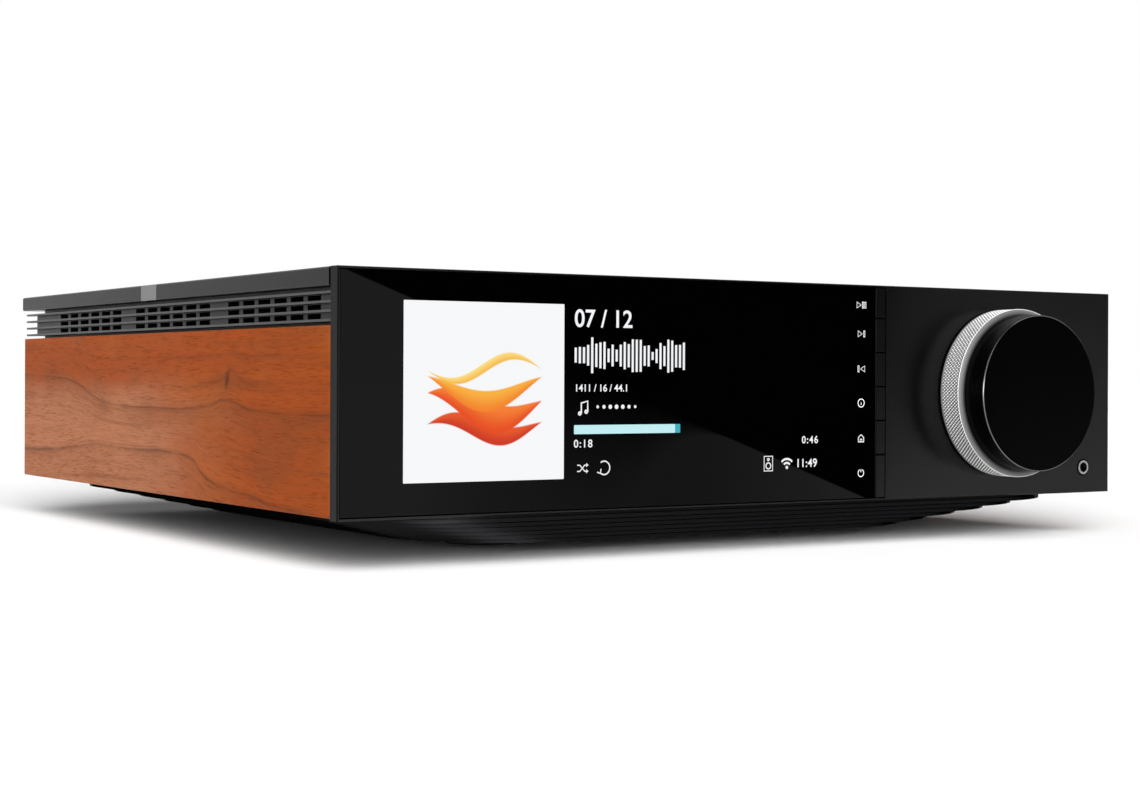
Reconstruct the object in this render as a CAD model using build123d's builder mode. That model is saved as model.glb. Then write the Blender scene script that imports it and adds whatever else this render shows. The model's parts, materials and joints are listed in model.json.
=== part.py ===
from build123d import *
import os
from math import cos, radians, sin

# Network music streamer: a wide case with a glass front, a double control, wooden side
# panels, a flat top plate and a stepped plinth. Millimetres, +Z up, the front faces -Y.
# The origin is on the surface it stands on, under the middle of its overall size.

os.makedirs("parts", exist_ok=True)

# Overall sizes. Depths are counted backwards from the front face of the fascia.
case_width = 317.0
overall_height = 89.0
base_height = 15.4
case_depth = 299.2
knob_reach = 19.2
rear_recess = 9.8
post_reach = 31.0

# Clearances and one overrun for every cut.
cut_over = 1.0
seat_gap = 0.1
slide_gap = 0.3
running_gap = 0.05
press_gap = 0.02

# Sheet steel of the chassis, and circuit boards.
sheet = 1.5
flange_width = 8.5
board_thickness = 1.6
standoff_height = 6.0
standoff_radius = 3.0

# One kind of pan head screw holds boards and panels.
screw_head_radius = 2.75
screw_head_height = 1.8
screw_shank_radius = 1.4
screw_shank_length = 4.4
screw_recess_radius = 1.2
screw_recess_depth = 1.0
tapped_radius = 1.45
screw_hole_radius = 1.6

# Fascia and glass.
fascia_depth = 4.6
fascia_edge = 0.25
glass_lip = 0.7
glass_thickness = 2.0
glass_edge = 0.3
jack_hole_radius = 3.1
fascia_tap_depth = 2.0
fascia_deep_tap_depth = 3.3
fascia_screw_edge = 11.3

# Display behind the glass.
display_border = 7.8
display_left_gap = 1.55
display_right_gap = 7.55
display_gap = 0.5
bracket_thickness = 1.2
bracket_key_gap = 8.9
bracket_rim = 3.2

# Column of keys between the glass and the right-hand panel.
key_column_inset = 112.1
key_width = 4.4
key_gap = 0.25
key_split = 0.3
key_count = 6
top_key_length = 10.6
bottom_key_length = 15.0
key_proud = 0.15
key_edge = 0.3
key_flange_width = 7.0
key_flange_height = 2.4
key_flange_thickness = 1.0
key_stem = 2.4
key_stem_reach = 9.0
key_travel = 0.7
guide_wall = 0.8
guide_plate = 1.8
guide_ear = 3.0
guide_ear_thickness = 1.0

# Key switches and the board that carries them.
switch_stand_off = 0.8
switch_actuator_radius = 1.6
switch_actuator_length = 1.0
switch_size = 5.2
switch_thickness = 2.4
front_board_key_reach = 16.4
front_board_side_inset = 28.5
front_board_margin = 7.3
front_standoff_inset = 6.0
encoder_window = 20.0

# Double control: a knob on the inner shaft and a ring on the outer sleeve.
knob_inset = 55.3
knob_radius = 27.4
knob_rear_depth = -10.3
knob_face_thickness = 3.0
knob_wall = 2.4
knob_hub_radius = 6.0
knob_hub_reach = 0.3
knob_edge = 0.45
ring_radius = 29.7
ring_front_radius = 28.0
ring_inner_radius = 26.2
ring_shoulder_depth = -9.2
ring_front_depth = -10.0
ring_rear_depth = -0.4
ring_web_front_depth = -9.0
ring_web_rear_depth = -6.6
ring_hub_radius = 7.0
ring_hub_front_depth = -9.6
shaft_radius = 2.0
sleeve_radius = 3.0
sleeve_end_depth = 10.0
shaft_end_depth = 13.0
bush_radius = 5.0
bush_reach = 6.0
bush_hole_radius = 5.2
nut_radius = 8.0
nut_thickness = 2.2
encoder_size = 16.0
encoder_length = 10.0

# Headphone socket.
jack_inset = 13.45
jack_height = 9.3
jack_nose_radius = 2.55
jack_bore_radius = 1.8
jack_bore_length = 14.2
jack_neck_radius = 2.8
jack_body_width = 9.0
jack_body_height = 10.0
jack_body_length = 12.0
jack_proud = 0.3

# Top plate and its inlay.
cover_front_gap = 1.2
cover_thickness = 5.5
cover_edge = 0.4
inlay_width = 15.2
inlay_thickness = 1.2
cover_rib_thickness = 6.0
cover_rib_height = 6.5
cover_rib_end = 10.0
cover_screw_inset = 50.8
cover_screw_drop = 3.5
hook_inset = 10.8
hook_width = 14.0
hook_thickness = 2.0
hook_height = 4.3
hook_reach = 4.0
hook_foot = 2.2
front_flange_width = 7.0

# Side vents: fins over a recessed wall with groups of slots.
vent_recess = 3.0
fin_count = 4
fin_pitch = 2.72
fin_top_drop = 7.4
fin_thickness = 0.75
fin_inset = 0.3
fin_overhang = 5.3
fin_front_gap = 0.3
slot_width = 9.2
slot_height = 1.6
slot_pitch = 12.2
slots_per_group = 6
group_pitch = 85.6
group_count = 3
first_slot_depth = 17.4
vent_window_margin = 1.0

# Wooden side panels on magnets.
panel_thickness = 6.0
panel_back_gap = 0.2
panel_bottom_height = 0.57
panel_top_drop = 17.03
panel_front_gap = 0.3
panel_rear_inset = 2.8
panel_edge = 0.3
magnet_radius = 5.0
magnet_thickness = 2.5
magnet_inset = 24.0

# Stepped plinth and feet.
plate_count = 6
plate_first_inset = 10.1
plate_side_step = 8.64
plate_front_step = 5.69
plate_rear_first_inset = 18.15
plate_rear_step = 4.29
plate_corner_radius = 44.0
plate_pitch = 1.92
plate_thickness = 1.15
plate_first_gap = 0.85
groove_inset = 1.6
plinth_wall = 2.5
plinth_floor = 2.0
plinth_boss_radius = 7.0
foot_radius = 13.0
foot_side_inset = 40.0
foot_end_inset = 51.0
foot_edge = 0.6
foot_stem_radius = 4.0
foot_stem_height = 1.4

# Power supply board and what stands on it.
supply_width = 104.0
supply_length = 130.0
supply_side_gap = 7.0
supply_depth = 95.0
transformer_width = 46.0
transformer_length = 38.0
transformer_height = 32.0
winding_length = 26.0
winding_overhang = 5.0
capacitor_radius = 9.0
capacitor_height = 30.0
wire_block_width = 14.0
wire_block_depth = 9.0
wire_block_height = 10.0

# Amplifier board and its heat sink.
amplifier_width = 100.0
amplifier_length = 110.0
amplifier_side_gap = 20.0
amplifier_depth = 115.0
sink_width = 76.0
sink_length = 54.0
sink_base = 4.0
sink_height = 34.0
sink_fin = 1.6
sink_fin_count = 11

# Main board and the sockets along its rear edge.
main_width = 200.0
main_length = 80.0
main_rear_gap = 6.0
main_side_gap = 4.8
module_width = 34.0
module_length = 28.0
module_can_height = 3.2
module_can_inset = 2.0
board_hole_inset = 5.0
socket_proud = 1.0
network_end_gap = 20.0
usb_spacing = 18.0
video_spacing = 18.0
optical_spacing = 16.0
optical_pair_spacing = 14.0
phono_first_spacing = 14.0
phono_spacing = 16.0
phono_count = 3
antenna_optical_shift = 6.0
antenna_usb_shift = 8.0
network_width = 16.0
network_height = 13.5
network_length = 21.0
network_mouth_width = 11.8
network_mouth_height = 8.4
network_mouth_depth = 13.0
usb_width = 13.6
usb_height = 6.8
usb_length = 17.0
usb_mouth_width = 12.5
usb_mouth_height = 5.1
usb_mouth_depth = 9.0
usb_tongue_thickness = 1.8
usb_tongue_width = 11.0
video_width = 15.2
video_height = 6.2
video_length = 12.0
video_mouth_width = 14.0
video_mouth_height = 4.6
video_mouth_depth = 8.0
video_tongue_thickness = 1.0
video_tongue_width = 11.0
optical_size = 9.8
optical_length = 16.0
optical_mouth = 7.6
optical_mouth_depth = 6.5
optical_lens_radius = 1.2
phono_block_width = 13.0
phono_block_height = 32.0
phono_block_length = 12.0
phono_row_height = 8.0
phono_row_pitch = 16.0
phono_shell_radius = 4.15
phono_collar_radius = 5.6
phono_collar_thickness = 1.5
phono_shell_length = 9.5
phono_bore_radius = 1.6
phono_dish_radius = 3.4
antenna_radius = 3.1
antenna_length = 9.0
antenna_nut_radius = 4.6
antenna_nut_thickness = 2.0
antenna_bore_radius = 0.8
antenna_drop = 19.6
antenna_tail = 5.0

# Mains inlet and its rocker switch, on the rear panel.
inlet_side_gap = 31.8
inlet_height = 31.0
inlet_width = 28.0
inlet_body_height = 20.4
inlet_flange = 2.0
inlet_flange_overlap = 2.2
inlet_length = 24.0
inlet_mouth_width = 24.2
inlet_mouth_height = 16.4
inlet_mouth_depth = 17.0
inlet_mouth_corner = 4.0
inlet_pin_width = 2.0
inlet_pin_height = 4.0
inlet_pin_length = 11.0
inlet_pin_spread = 7.0
inlet_earth_rise = 2.0
inlet_tab_width = 6.3
inlet_tab_thickness = 0.8
inlet_tab_length = 8.0
rocker_spacing = 32.0
rocker_frame_width = 15.0
rocker_frame_height = 21.0
rocker_body_length = 16.0
rocker_wall = 1.2
rocker_arm = 7.4
rocker_tilt = 10.0
rocker_well_depth = 6.0
rocker_pin_radius = 1.2
rocker_pivot_depth = 1.0
rocker_crown = 2.2

# Speaker terminals on a moulded plate.
terminal_spacing = 55.0
terminal_drop = 37.0
terminal_count = 4
terminal_pitch = 19.0
terminal_plate_height = 24.0
terminal_plate_thickness = 3.0
terminal_collar_radius = 7.0
terminal_collar_height = 3.0
terminal_boss_radius = 5.0
stud_radius = 3.0
stud_inner_length = 12.0
stud_end_gap = 2.0
stud_nut_radius = 4.8
stud_nut_thickness = 2.4
plug_bore_radius = 2.0
plug_bore_length = 20.0
cap_radius = 7.5
cap_mouth_radius = 2.3
cap_flute_radius = 0.7
cap_flute_count = 16
cap_edge = 0.8

# Wiring.
ribbon_width = 12.0
ribbon_thickness = 0.4
ribbon_bend = 3.0
ribbon_lift = 0.6
ribbon_plug_height = 3.0
ribbon_plug_depth = 4.0
ribbon_start_height = 18.0
wire_radius = 1.3
wire_gap = 5.0

# Places that follow from the sizes above.
rear_depth = case_depth - rear_recess
overall_depth = knob_reach + rear_depth + post_reach
front_y = knob_reach - overall_depth / 2
base_z = base_height
fascia_height = overall_height - base_height
front_middle_z = base_z + fascia_height / 2
cover_bottom_z = overall_height - cover_thickness
wall_depth = fascia_depth + sheet
panel_inner_depth = rear_depth - sheet
side_wall_x = case_width / 2 - panel_thickness - panel_back_gap
inner_x = side_wall_x - sheet
vent_wall = case_width / 2 - vent_recess - side_wall_x
panel_bottom_z = base_z + panel_bottom_height
panel_height = fascia_height - panel_bottom_height - panel_top_drop
tray_z = panel_bottom_z
floor_z = tray_z + sheet
board_z = floor_z + standoff_height
board_top_z = board_z + board_thickness
key_column_x = case_width / 2 - key_column_inset
slot_left_x = key_column_x - key_width / 2 - key_gap
slot_right_x = key_column_x + key_width / 2 + key_gap
glass_left_x = -case_width / 2 + glass_lip
glass_right_x = slot_left_x - key_gap
key_bottom_z = base_z + glass_lip
key_top_z = overall_height - glass_lip
board_front_depth = key_stem_reach + switch_stand_off + switch_actuator_length + switch_thickness
front_board_left = key_column_x - front_board_key_reach
front_board_right = case_width / 2 - front_board_side_inset
front_board_height = fascia_height - 2 * front_board_margin
knob_x = case_width / 2 - knob_inset
jack_x = case_width / 2 - jack_inset


def y_at(depth):
    """Y of a place this far behind the fascia's front face."""
    return front_y + depth


def depth_plane(depth):
    """Upright plane across the case, with X and Z as its own directions, facing forwards."""
    return Plane(origin=(0, y_at(depth), 0), x_dir=(1, 0, 0), z_dir=(0, -1, 0))


def side_plane(x):
    """Upright plane along the case, with Y and Z as its own directions, facing +X."""
    return Plane(origin=(x, 0, 0), x_dir=(0, 1, 0), z_dir=(1, 0, 0))


def block(plane, x, y, width, height, amount, mode=Mode.ADD):
    """Rectangle about a point of the plane, taken along the plane's normal."""
    with BuildSketch(plane) as outline:
        with Locations((x, y)):
            Rectangle(width, height)
    extrude(outline.sketch, amount=amount, mode=mode)


def rod(plane, x, y, radius, amount, mode=Mode.ADD):
    """Circle about a point of the plane, taken along the plane's normal."""
    with BuildSketch(plane) as outline:
        with Locations((x, y)):
            Circle(radius)
    extrude(outline.sketch, amount=amount, mode=mode)


def pan_screw(plane, x, y, facing=1):
    """Screw with its head on the plane, on the side that facing gives, and its shank beyond."""
    rod(plane, x, y, screw_head_radius, facing * screw_head_height)
    rod(plane, x, y, screw_shank_radius, -facing * screw_shank_length)
    with BuildSketch(plane.offset(facing * screw_head_height)) as recess:
        with Locations((x, y)):
            RegularPolygon(screw_recess_radius, 6)
    extrude(recess.sketch, amount=-facing * screw_recess_depth, mode=Mode.SUBTRACT)


def finish(piece, name):
    """Label a finished piece and write it."""
    piece.part.label = name
    export_step(piece.part, "parts/" + name + ".step")


# Height of each key's lower and upper end, from the top key down.
keys_length = key_top_z - key_bottom_z
key_pitch = (keys_length - top_key_length - bottom_key_length) / (key_count - 2)
splits = [key_top_z - top_key_length - key_pitch * i for i in range(key_count - 1)]
key_tops = [key_top_z - slide_gap] + [z - key_split / 2 for z in splits]
key_bottoms = [z + key_split / 2 for z in splits] + [key_bottom_z + slide_gap]
key_names = ["play_pause_key", "next_key", "previous_key", "info_key", "home_key", "power_key"]

# The guide's opening in the chassis stops under the chassis's top flange, and so does the
# top key's stem.
key_window_top_z = cover_bottom_z - sheet
key_window_bottom_z = floor_z + sheet
guide_top_z = key_window_top_z - seat_gap
highest_stem_z = min(
    guide_top_z - guide_wall - slide_gap - key_flange_height / 2,
    key_window_top_z - slide_gap - switch_size / 2,
)
stem_heights = [min((a + b) / 2, highest_stem_z) for a, b in zip(key_bottoms, key_tops)]
guide_width = key_flange_width + 2 * slide_gap + 2 * guide_wall
key_window_width = guide_width + 2 * seat_gap

# The fascia is held from behind: four screws through the display's bracket and two more
# beyond the control. The display lies between the bracket's screws.
bracket_left_x = -inner_x + slide_gap
bracket_right_x = key_column_x - bracket_key_gap
bracket_width = bracket_right_x - bracket_left_x
bracket_x = (bracket_left_x + bracket_right_x) / 2
bracket_screw_xs = [bracket_left_x + bracket_rim, bracket_right_x - bracket_rim]
far_screw_x = front_board_right + bracket_rim
fascia_screw_rise = fascia_height / 2 - fascia_screw_edge
fascia_screw_zs = [front_middle_z - fascia_screw_rise, front_middle_z + fascia_screw_rise]
display_left_x = bracket_screw_xs[0] + screw_head_radius + display_left_gap
display_right_x = bracket_screw_xs[1] - screw_head_radius - display_right_gap
display_width = display_right_x - display_left_x
display_height = fascia_height - 2 * display_border
display_x = (display_left_x + display_right_x) / 2

jack_z = base_z + jack_height

# Fascia: one plate with a recess for the glass, a window for the display, a slot for the
# keys, and holes for the control's bush and the headphone socket.
with BuildPart() as fascia:
    with BuildSketch(depth_plane(0)):
        with Locations((0, front_middle_z)):
            Rectangle(case_width, fascia_height)
    extrude(amount=-fascia_depth)
    chamfer(fascia.faces().sort_by(Axis.Y)[0].edges(), fascia_edge)
    recess_width = slot_right_x - glass_left_x
    recess_x = (slot_right_x + glass_left_x) / 2
    recess_height = fascia_height - 2 * glass_lip
    block(
        depth_plane(-cut_over), recess_x, front_middle_z, recess_width, recess_height,
        -glass_thickness - cut_over, Mode.SUBTRACT,
    )
    block(
        depth_plane(0), display_x, front_middle_z, display_width + 2 * display_gap,
        display_height + 2 * display_gap, -fascia_depth - cut_over, Mode.SUBTRACT,
    )
    block(
        depth_plane(0), key_column_x, front_middle_z, key_width + 2 * key_gap, recess_height,
        -fascia_depth - cut_over, Mode.SUBTRACT,
    )
    rod(
        depth_plane(-cut_over), knob_x, front_middle_z, bush_hole_radius,
        -fascia_depth - 2 * cut_over, Mode.SUBTRACT,
    )
    rod(
        depth_plane(-cut_over), jack_x, jack_z, jack_hole_radius,
        -fascia_depth - 2 * cut_over, Mode.SUBTRACT,
    )
    for screw_z in fascia_screw_zs:
        for screw_x in bracket_screw_xs:
            rod(
                depth_plane(fascia_depth + cut_over), screw_x, screw_z, tapped_radius,
                fascia_tap_depth + cut_over, Mode.SUBTRACT,
            )
        rod(
            depth_plane(fascia_depth + cut_over), far_screw_x, screw_z, tapped_radius,
            fascia_deep_tap_depth + cut_over, Mode.SUBTRACT,
        )
finish(fascia, "fascia")

# Glass: fills the recess up to the keys.
with BuildPart() as display_glass:
    glass_width = glass_right_x - glass_left_x - seat_gap
    glass_x = glass_right_x - glass_width / 2
    with BuildSketch(depth_plane(0)):
        with Locations((glass_x, front_middle_z)):
            Rectangle(glass_width, recess_height - 2 * seat_gap)
    extrude(amount=-glass_thickness)
    chamfer(display_glass.faces().sort_by(Axis.Y)[0].edges(), glass_edge)
finish(display_glass, "display_glass")

# Display: a flat module behind the glass, level with the chassis's front wall.
with BuildPart() as display_module:
    display_depth = wall_depth - glass_thickness - seat_gap
    block(
        depth_plane(glass_thickness + seat_gap), display_x, front_middle_z, display_width,
        display_height, -display_depth,
    )
finish(display_module, "display_module")

# Bracket: a sheet behind the display, screwed through the chassis into the fascia.
with BuildPart() as display_bracket:
    bracket_height = 2 * fascia_screw_rise + 2 * bracket_rim
    block(
        depth_plane(wall_depth), bracket_x, front_middle_z, bracket_width, bracket_height,
        -bracket_thickness,
    )
    for screw_x in bracket_screw_xs:
        for screw_z in fascia_screw_zs:
            rod(
                depth_plane(wall_depth - cut_over), screw_x, screw_z, screw_hole_radius,
                -bracket_thickness - 2 * cut_over, Mode.SUBTRACT,
            )
finish(display_bracket, "display_bracket")

# Chassis tray: floor, front wall and side walls in one folded sheet, open to the rear and
# at the top, where the rear panel and the top plate close it.
tray_length = panel_inner_depth - fascia_depth
tray_y = y_at(fascia_depth + tray_length / 2)
flange_screw_x = inner_x - flange_width / 2
flange_screw_shares = [0.15, 0.5, 0.85]
flange_screw_zs = [tray_z + share * (cover_bottom_z - tray_z) for share in flange_screw_shares]
plinth_half_width = case_width / 2 - plate_first_inset
foot_x = plinth_half_width - plate_side_step * (plate_count - 1) - foot_side_inset
foot_front_depth = plate_front_step * (plate_count - 1) + foot_end_inset
foot_rear_level = plate_rear_first_inset + plate_rear_step * (plate_count - 1)
foot_rear_depth = case_depth - foot_rear_level - foot_end_inset
foot_spots = [(x, y_at(d)) for x in (-foot_x, foot_x) for d in (foot_front_depth, foot_rear_depth)]
vent_span = slot_pitch * (slots_per_group - 1) + slot_width
vent_group_ys = [y_at(first_slot_depth + group_pitch * i + vent_span / 2) for i in range(group_count)]
fin_heights = [overall_height - fin_top_drop - fin_pitch * i for i in range(fin_count)]
vent_middle_z = (fin_heights[0] + fin_heights[-1]) / 2
vent_window_height = fin_heights[0] - fin_heights[-1] - fin_thickness

with BuildPart() as base_tray:
    with BuildSketch(Plane.XY.offset(tray_z)):
        with Locations((0, tray_y)):
            Rectangle(2 * side_wall_x, tray_length)
    extrude(amount=cover_bottom_z - tray_z)
    with BuildSketch(Plane.XY.offset(floor_z)):
        with Locations((0, tray_y + sheet / 2 + cut_over / 2)):
            Rectangle(2 * inner_x, tray_length - sheet + cut_over)
    extrude(amount=cover_bottom_z, mode=Mode.SUBTRACT)
    flange_y = y_at(wall_depth + front_flange_width / 2)
    block(
        Plane.XY.offset(cover_bottom_z - sheet), 0, flange_y, 2 * inner_x, front_flange_width,
        sheet,
    )
    for side in (-1, 1):
        block(
            depth_plane(panel_inner_depth), side * flange_screw_x, (floor_z + cover_bottom_z) / 2,
            flange_width, cover_bottom_z - floor_z, sheet,
        )
        for screw_z in flange_screw_zs:
            rod(
                depth_plane(panel_inner_depth + cut_over), side * flange_screw_x, screw_z,
                tapped_radius, sheet + 2 * cut_over, Mode.SUBTRACT,
            )
        for group_y in vent_group_ys:
            block(
                side_plane(side * inner_x - side * cut_over), group_y, vent_middle_z,
                vent_span + 2 * vent_window_margin, vent_window_height,
                side * (sheet + 2 * cut_over), Mode.SUBTRACT,
            )
    block(
        depth_plane(fascia_depth - cut_over), display_x, front_middle_z,
        display_width + 2 * display_gap, display_height + 2 * display_gap,
        -sheet - 2 * cut_over, Mode.SUBTRACT,
    )
    block(
        depth_plane(fascia_depth - cut_over), key_column_x,
        (key_window_top_z + key_window_bottom_z) / 2, key_window_width,
        key_window_top_z - key_window_bottom_z, -sheet - 2 * cut_over, Mode.SUBTRACT,
    )
    rod(
        depth_plane(fascia_depth - cut_over), knob_x, front_middle_z, bush_hole_radius,
        -sheet - 2 * cut_over, Mode.SUBTRACT,
    )
    rod(
        depth_plane(fascia_depth - cut_over), jack_x, jack_z, jack_neck_radius + seat_gap,
        -sheet - 2 * cut_over, Mode.SUBTRACT,
    )
    for screw_x in bracket_screw_xs + [far_screw_x]:
        for screw_z in fascia_screw_zs:
            rod(
                depth_plane(fascia_depth - cut_over), screw_x, screw_z, screw_hole_radius,
                -sheet - 2 * cut_over, Mode.SUBTRACT,
            )
    for spot_x, spot_y in foot_spots:
        rod(
            Plane.XY.offset(tray_z - cut_over), spot_x, spot_y, screw_hole_radius,
            sheet + 2 * cut_over, Mode.SUBTRACT,
        )
finish(base_tray, "base_tray")

# Plinth: six thin rounded plates, each set in further than the one above, with a dark
# groove between them. It is hollow, with bosses that take the chassis's screws.
plinth_levels = []
for i in range(plate_count):
    level_half = plinth_half_width - plate_side_step * i
    level_front = y_at(plate_front_step * i)
    level_rear = y_at(case_depth - plate_rear_first_inset - plate_rear_step * i)
    plinth_levels.append((level_half, level_front, level_rear, base_z - plate_first_gap - plate_pitch * i))


def plinth_outline(level, inset):
    """Rounded outline of one level of the plinth, drawn in by the inset."""
    half, front, rear, _ = plinth_levels[level]
    with Locations((0, (front + rear) / 2)):
        RectangleRounded(2 * (half - inset), rear - front - 2 * inset, plate_corner_radius - inset)


with BuildPart() as base_plinth:
    for i in range(plate_count):
        plate_top_z = plinth_levels[i][3]
        with BuildSketch(Plane.XY.offset(plate_top_z)) as plate_sketch:
            plinth_outline(i, 0)
        extrude(plate_sketch.sketch, amount=-plate_thickness)
        above_z = tray_z if i == 0 else plinth_levels[i - 1][3] - plate_thickness
        with BuildSketch(Plane.XY.offset(plate_top_z)) as groove_sketch:
            plinth_outline(i, groove_inset)
        extrude(groove_sketch.sketch, amount=above_z - plate_top_z)
    block(
        Plane.XY.offset(base_z), 0, y_at(fascia_depth / 2), case_width,
        fascia_depth + 2 * seat_gap, tray_z - base_z + cut_over, Mode.SUBTRACT,
    )
    for i in range(plate_count - 1):
        cavity_bottom_z = plinth_levels[i][3] - plate_thickness
        with BuildSketch(Plane.XY.offset(cavity_bottom_z)) as cavity_sketch:
            plinth_outline(i + 1, groove_inset + plinth_wall)
        extrude(cavity_sketch.sketch, amount=tray_z - cavity_bottom_z + cut_over, mode=Mode.SUBTRACT)
    plinth_bottom_z = plinth_levels[-1][3] - plate_thickness
    for spot_x, spot_y in foot_spots:
        rod(
            Plane.XY.offset(plinth_bottom_z + plinth_floor / 2), spot_x, spot_y,
            plinth_boss_radius, tray_z - plinth_bottom_z - plinth_floor / 2,
        )
        rod(
            Plane.XY.offset(tray_z + cut_over), spot_x, spot_y, tapped_radius,
            -screw_shank_length - cut_over, Mode.SUBTRACT,
        )
        rod(
            Plane.XY.offset(plinth_bottom_z - cut_over), spot_x, spot_y,
            foot_stem_radius + press_gap, foot_stem_height + seat_gap + cut_over, Mode.SUBTRACT,
        )
finish(base_plinth, "base_plinth")

# Feet: four rubber discs with a stem pressed into the plinth.
with BuildPart() as feet:
    for spot_x, spot_y in foot_spots:
        rod(Plane.XY, spot_x, spot_y, foot_radius, plinth_bottom_z)
        rod(Plane.XY.offset(plinth_bottom_z), spot_x, spot_y, foot_stem_radius, foot_stem_height)
    ground_rims = feet.edges().filter_by(GeomType.CIRCLE).group_by(Axis.Z)[0]
    chamfer(ground_rims, foot_edge)
finish(feet, "feet")

# Top plate: flat, with a shallow channel for the inlay across the top and down both side
# edges, a rib behind for the rear panel's screws, and hooks under the front flange.
cover_front_depth = fascia_depth + cover_front_gap
cover_length = case_depth - cover_front_depth
cover_y = y_at(cover_front_depth + cover_length / 2)
cover_screw_pitch = inner_x - cover_screw_inset
cover_rib_width = 2 * (cover_screw_pitch + cover_rib_end)
hook_pitch = inner_x - hook_inset

with BuildPart() as top_cover:
    with BuildSketch(Plane.XY.offset(cover_bottom_z)):
        with Locations((0, cover_y)):
            Rectangle(case_width, cover_length)
    extrude(amount=cover_thickness)
    chamfer(top_cover.faces().filter_by(Axis.Z).edges(), cover_edge)
    block(
        Plane.XY.offset(overall_height + cut_over), 0, cover_y, case_width + 2 * cut_over,
        inlay_width, -inlay_thickness - cut_over, Mode.SUBTRACT,
    )
    for side in (-1, 1):
        block(
            side_plane(side * (case_width / 2 + cut_over)), cover_y,
            cover_bottom_z + cover_thickness / 2, inlay_width, cover_thickness + 2 * cut_over,
            -side * (inlay_thickness + cut_over), Mode.SUBTRACT,
        )
    rib_z = cover_bottom_z - cover_rib_height / 2
    block(
        depth_plane(panel_inner_depth), 0, rib_z, cover_rib_width, cover_rib_height,
        cover_rib_thickness,
    )
    for i in (-1, 0, 1):
        rod(
            depth_plane(panel_inner_depth + cut_over), i * cover_screw_pitch,
            cover_bottom_z - cover_screw_drop, tapped_radius, screw_shank_length + cut_over,
            Mode.SUBTRACT,
        )
        hook_depth = wall_depth + front_flange_width + slide_gap
        block(
            depth_plane(hook_depth), i * hook_pitch, cover_bottom_z - hook_height / 2, hook_width,
            hook_height, -hook_thickness,
        )
        block(
            depth_plane(hook_depth), i * hook_pitch, cover_bottom_z - hook_height + hook_foot / 2,
            hook_width, hook_foot, hook_reach,
        )
finish(top_cover, "top_cover")

# Inlay: a thin light band, over the top and down both side edges.
with BuildPart() as top_inlay:
    band_width = inlay_width - 2 * seat_gap
    block(
        Plane.XY.offset(overall_height), 0, cover_y, case_width, band_width, -inlay_thickness,
    )
    for side in (-1, 1):
        block(
            side_plane(side * case_width / 2), cover_y, cover_bottom_z + cover_thickness / 2,
            band_width, cover_thickness, -side * inlay_thickness,
        )
    chamfer(
        top_inlay.edges().filter_by(Axis.Y).filter_by(
            lambda edge: edge.center().Z > overall_height - press_gap
        ),
        cover_edge,
    )
finish(top_inlay, "top_inlay")

# Vent grilles: a recessed wall with slots in three groups, between the highest and the lowest
# of four long fins. It leaves an open gap under the top plate and one over the wooden panel.
for side, side_name in ((-1, "left"), (1, "right")):
    with BuildPart() as vent_grille:
        grille_height = fin_heights[0] - fin_heights[-1] + fin_thickness
        block(
            depth_plane(fascia_depth), side * (side_wall_x + vent_wall / 2),
            vent_middle_z, vent_wall, grille_height, -(rear_depth - fascia_depth),
        )
        fin_reach = case_width / 2 - fin_inset - side_wall_x
        fin_length = rear_depth + fin_overhang - fascia_depth - fin_front_gap
        for fin_z in fin_heights:
            block(
                depth_plane(fascia_depth + fin_front_gap), side * (side_wall_x + fin_reach / 2),
                fin_z, fin_reach, fin_thickness, -fin_length,
            )
        rear_overhang = fin_overhang + cut_over
        block(
            depth_plane(rear_depth), side * (side_wall_x + vent_wall / 2), vent_middle_z,
            vent_wall, fascia_height, -rear_overhang, Mode.SUBTRACT,
        )
        with BuildSketch(side_plane(side * (side_wall_x - cut_over))) as slots:
            for group_y in vent_group_ys:
                for row in range(fin_count - 1):
                    row_z = (fin_heights[row] + fin_heights[row + 1]) / 2
                    with Locations((group_y, row_z)):
                        with GridLocations(slot_pitch, slot_height, slots_per_group, 1):
                            Rectangle(slot_width, slot_height)
        extrude(slots.sketch, amount=side * (vent_wall + 2 * cut_over), mode=Mode.SUBTRACT)
    finish(vent_grille, side_name + "_vent_grille")

# Wooden side panels, with four magnets let into the back of each, near the corners.
panel_front_depth = fascia_depth + panel_front_gap
panel_length = case_depth - panel_rear_inset - panel_front_depth
panel_y = y_at(panel_front_depth + panel_length / 2)
panel_z = panel_bottom_z + panel_height / 2
magnet_half_length = (panel_inner_depth - panel_front_depth) / 2 - magnet_inset
magnet_y = y_at((panel_inner_depth + panel_front_depth) / 2)
magnet_rise = panel_height / 2 - magnet_inset / 2

for side, side_name in ((-1, "left"), (1, "right")):
    panel_back_x = side * (side_wall_x + panel_back_gap)
    magnet_spots = [
        (magnet_y + along * magnet_half_length, panel_z + up * magnet_rise)
        for along in (-1, 1)
        for up in (-1, 1)
    ]
    with BuildPart() as side_panel:
        with BuildSketch(side_plane(panel_back_x)):
            with Locations((panel_y, panel_z)):
                Rectangle(panel_length, panel_height)
        extrude(amount=side * panel_thickness)
        outer_face = side_panel.faces().sort_by(Axis.X)[-1 if side > 0 else 0]
        chamfer(outer_face.edges(), panel_edge)
        for spot_y, spot_z in magnet_spots:
            rod(
                side_plane(panel_back_x - side * cut_over), spot_y, spot_z,
                magnet_radius + press_gap, side * (magnet_thickness + press_gap + cut_over),
                Mode.SUBTRACT,
            )
    finish(side_panel, side_name + "_side_panel")
    with BuildPart() as panel_magnets:
        for spot_y, spot_z in magnet_spots:
            rod(side_plane(panel_back_x), spot_y, spot_z, magnet_radius, side * magnet_thickness)
    finish(panel_magnets, side_name + "_panel_magnets")

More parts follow.
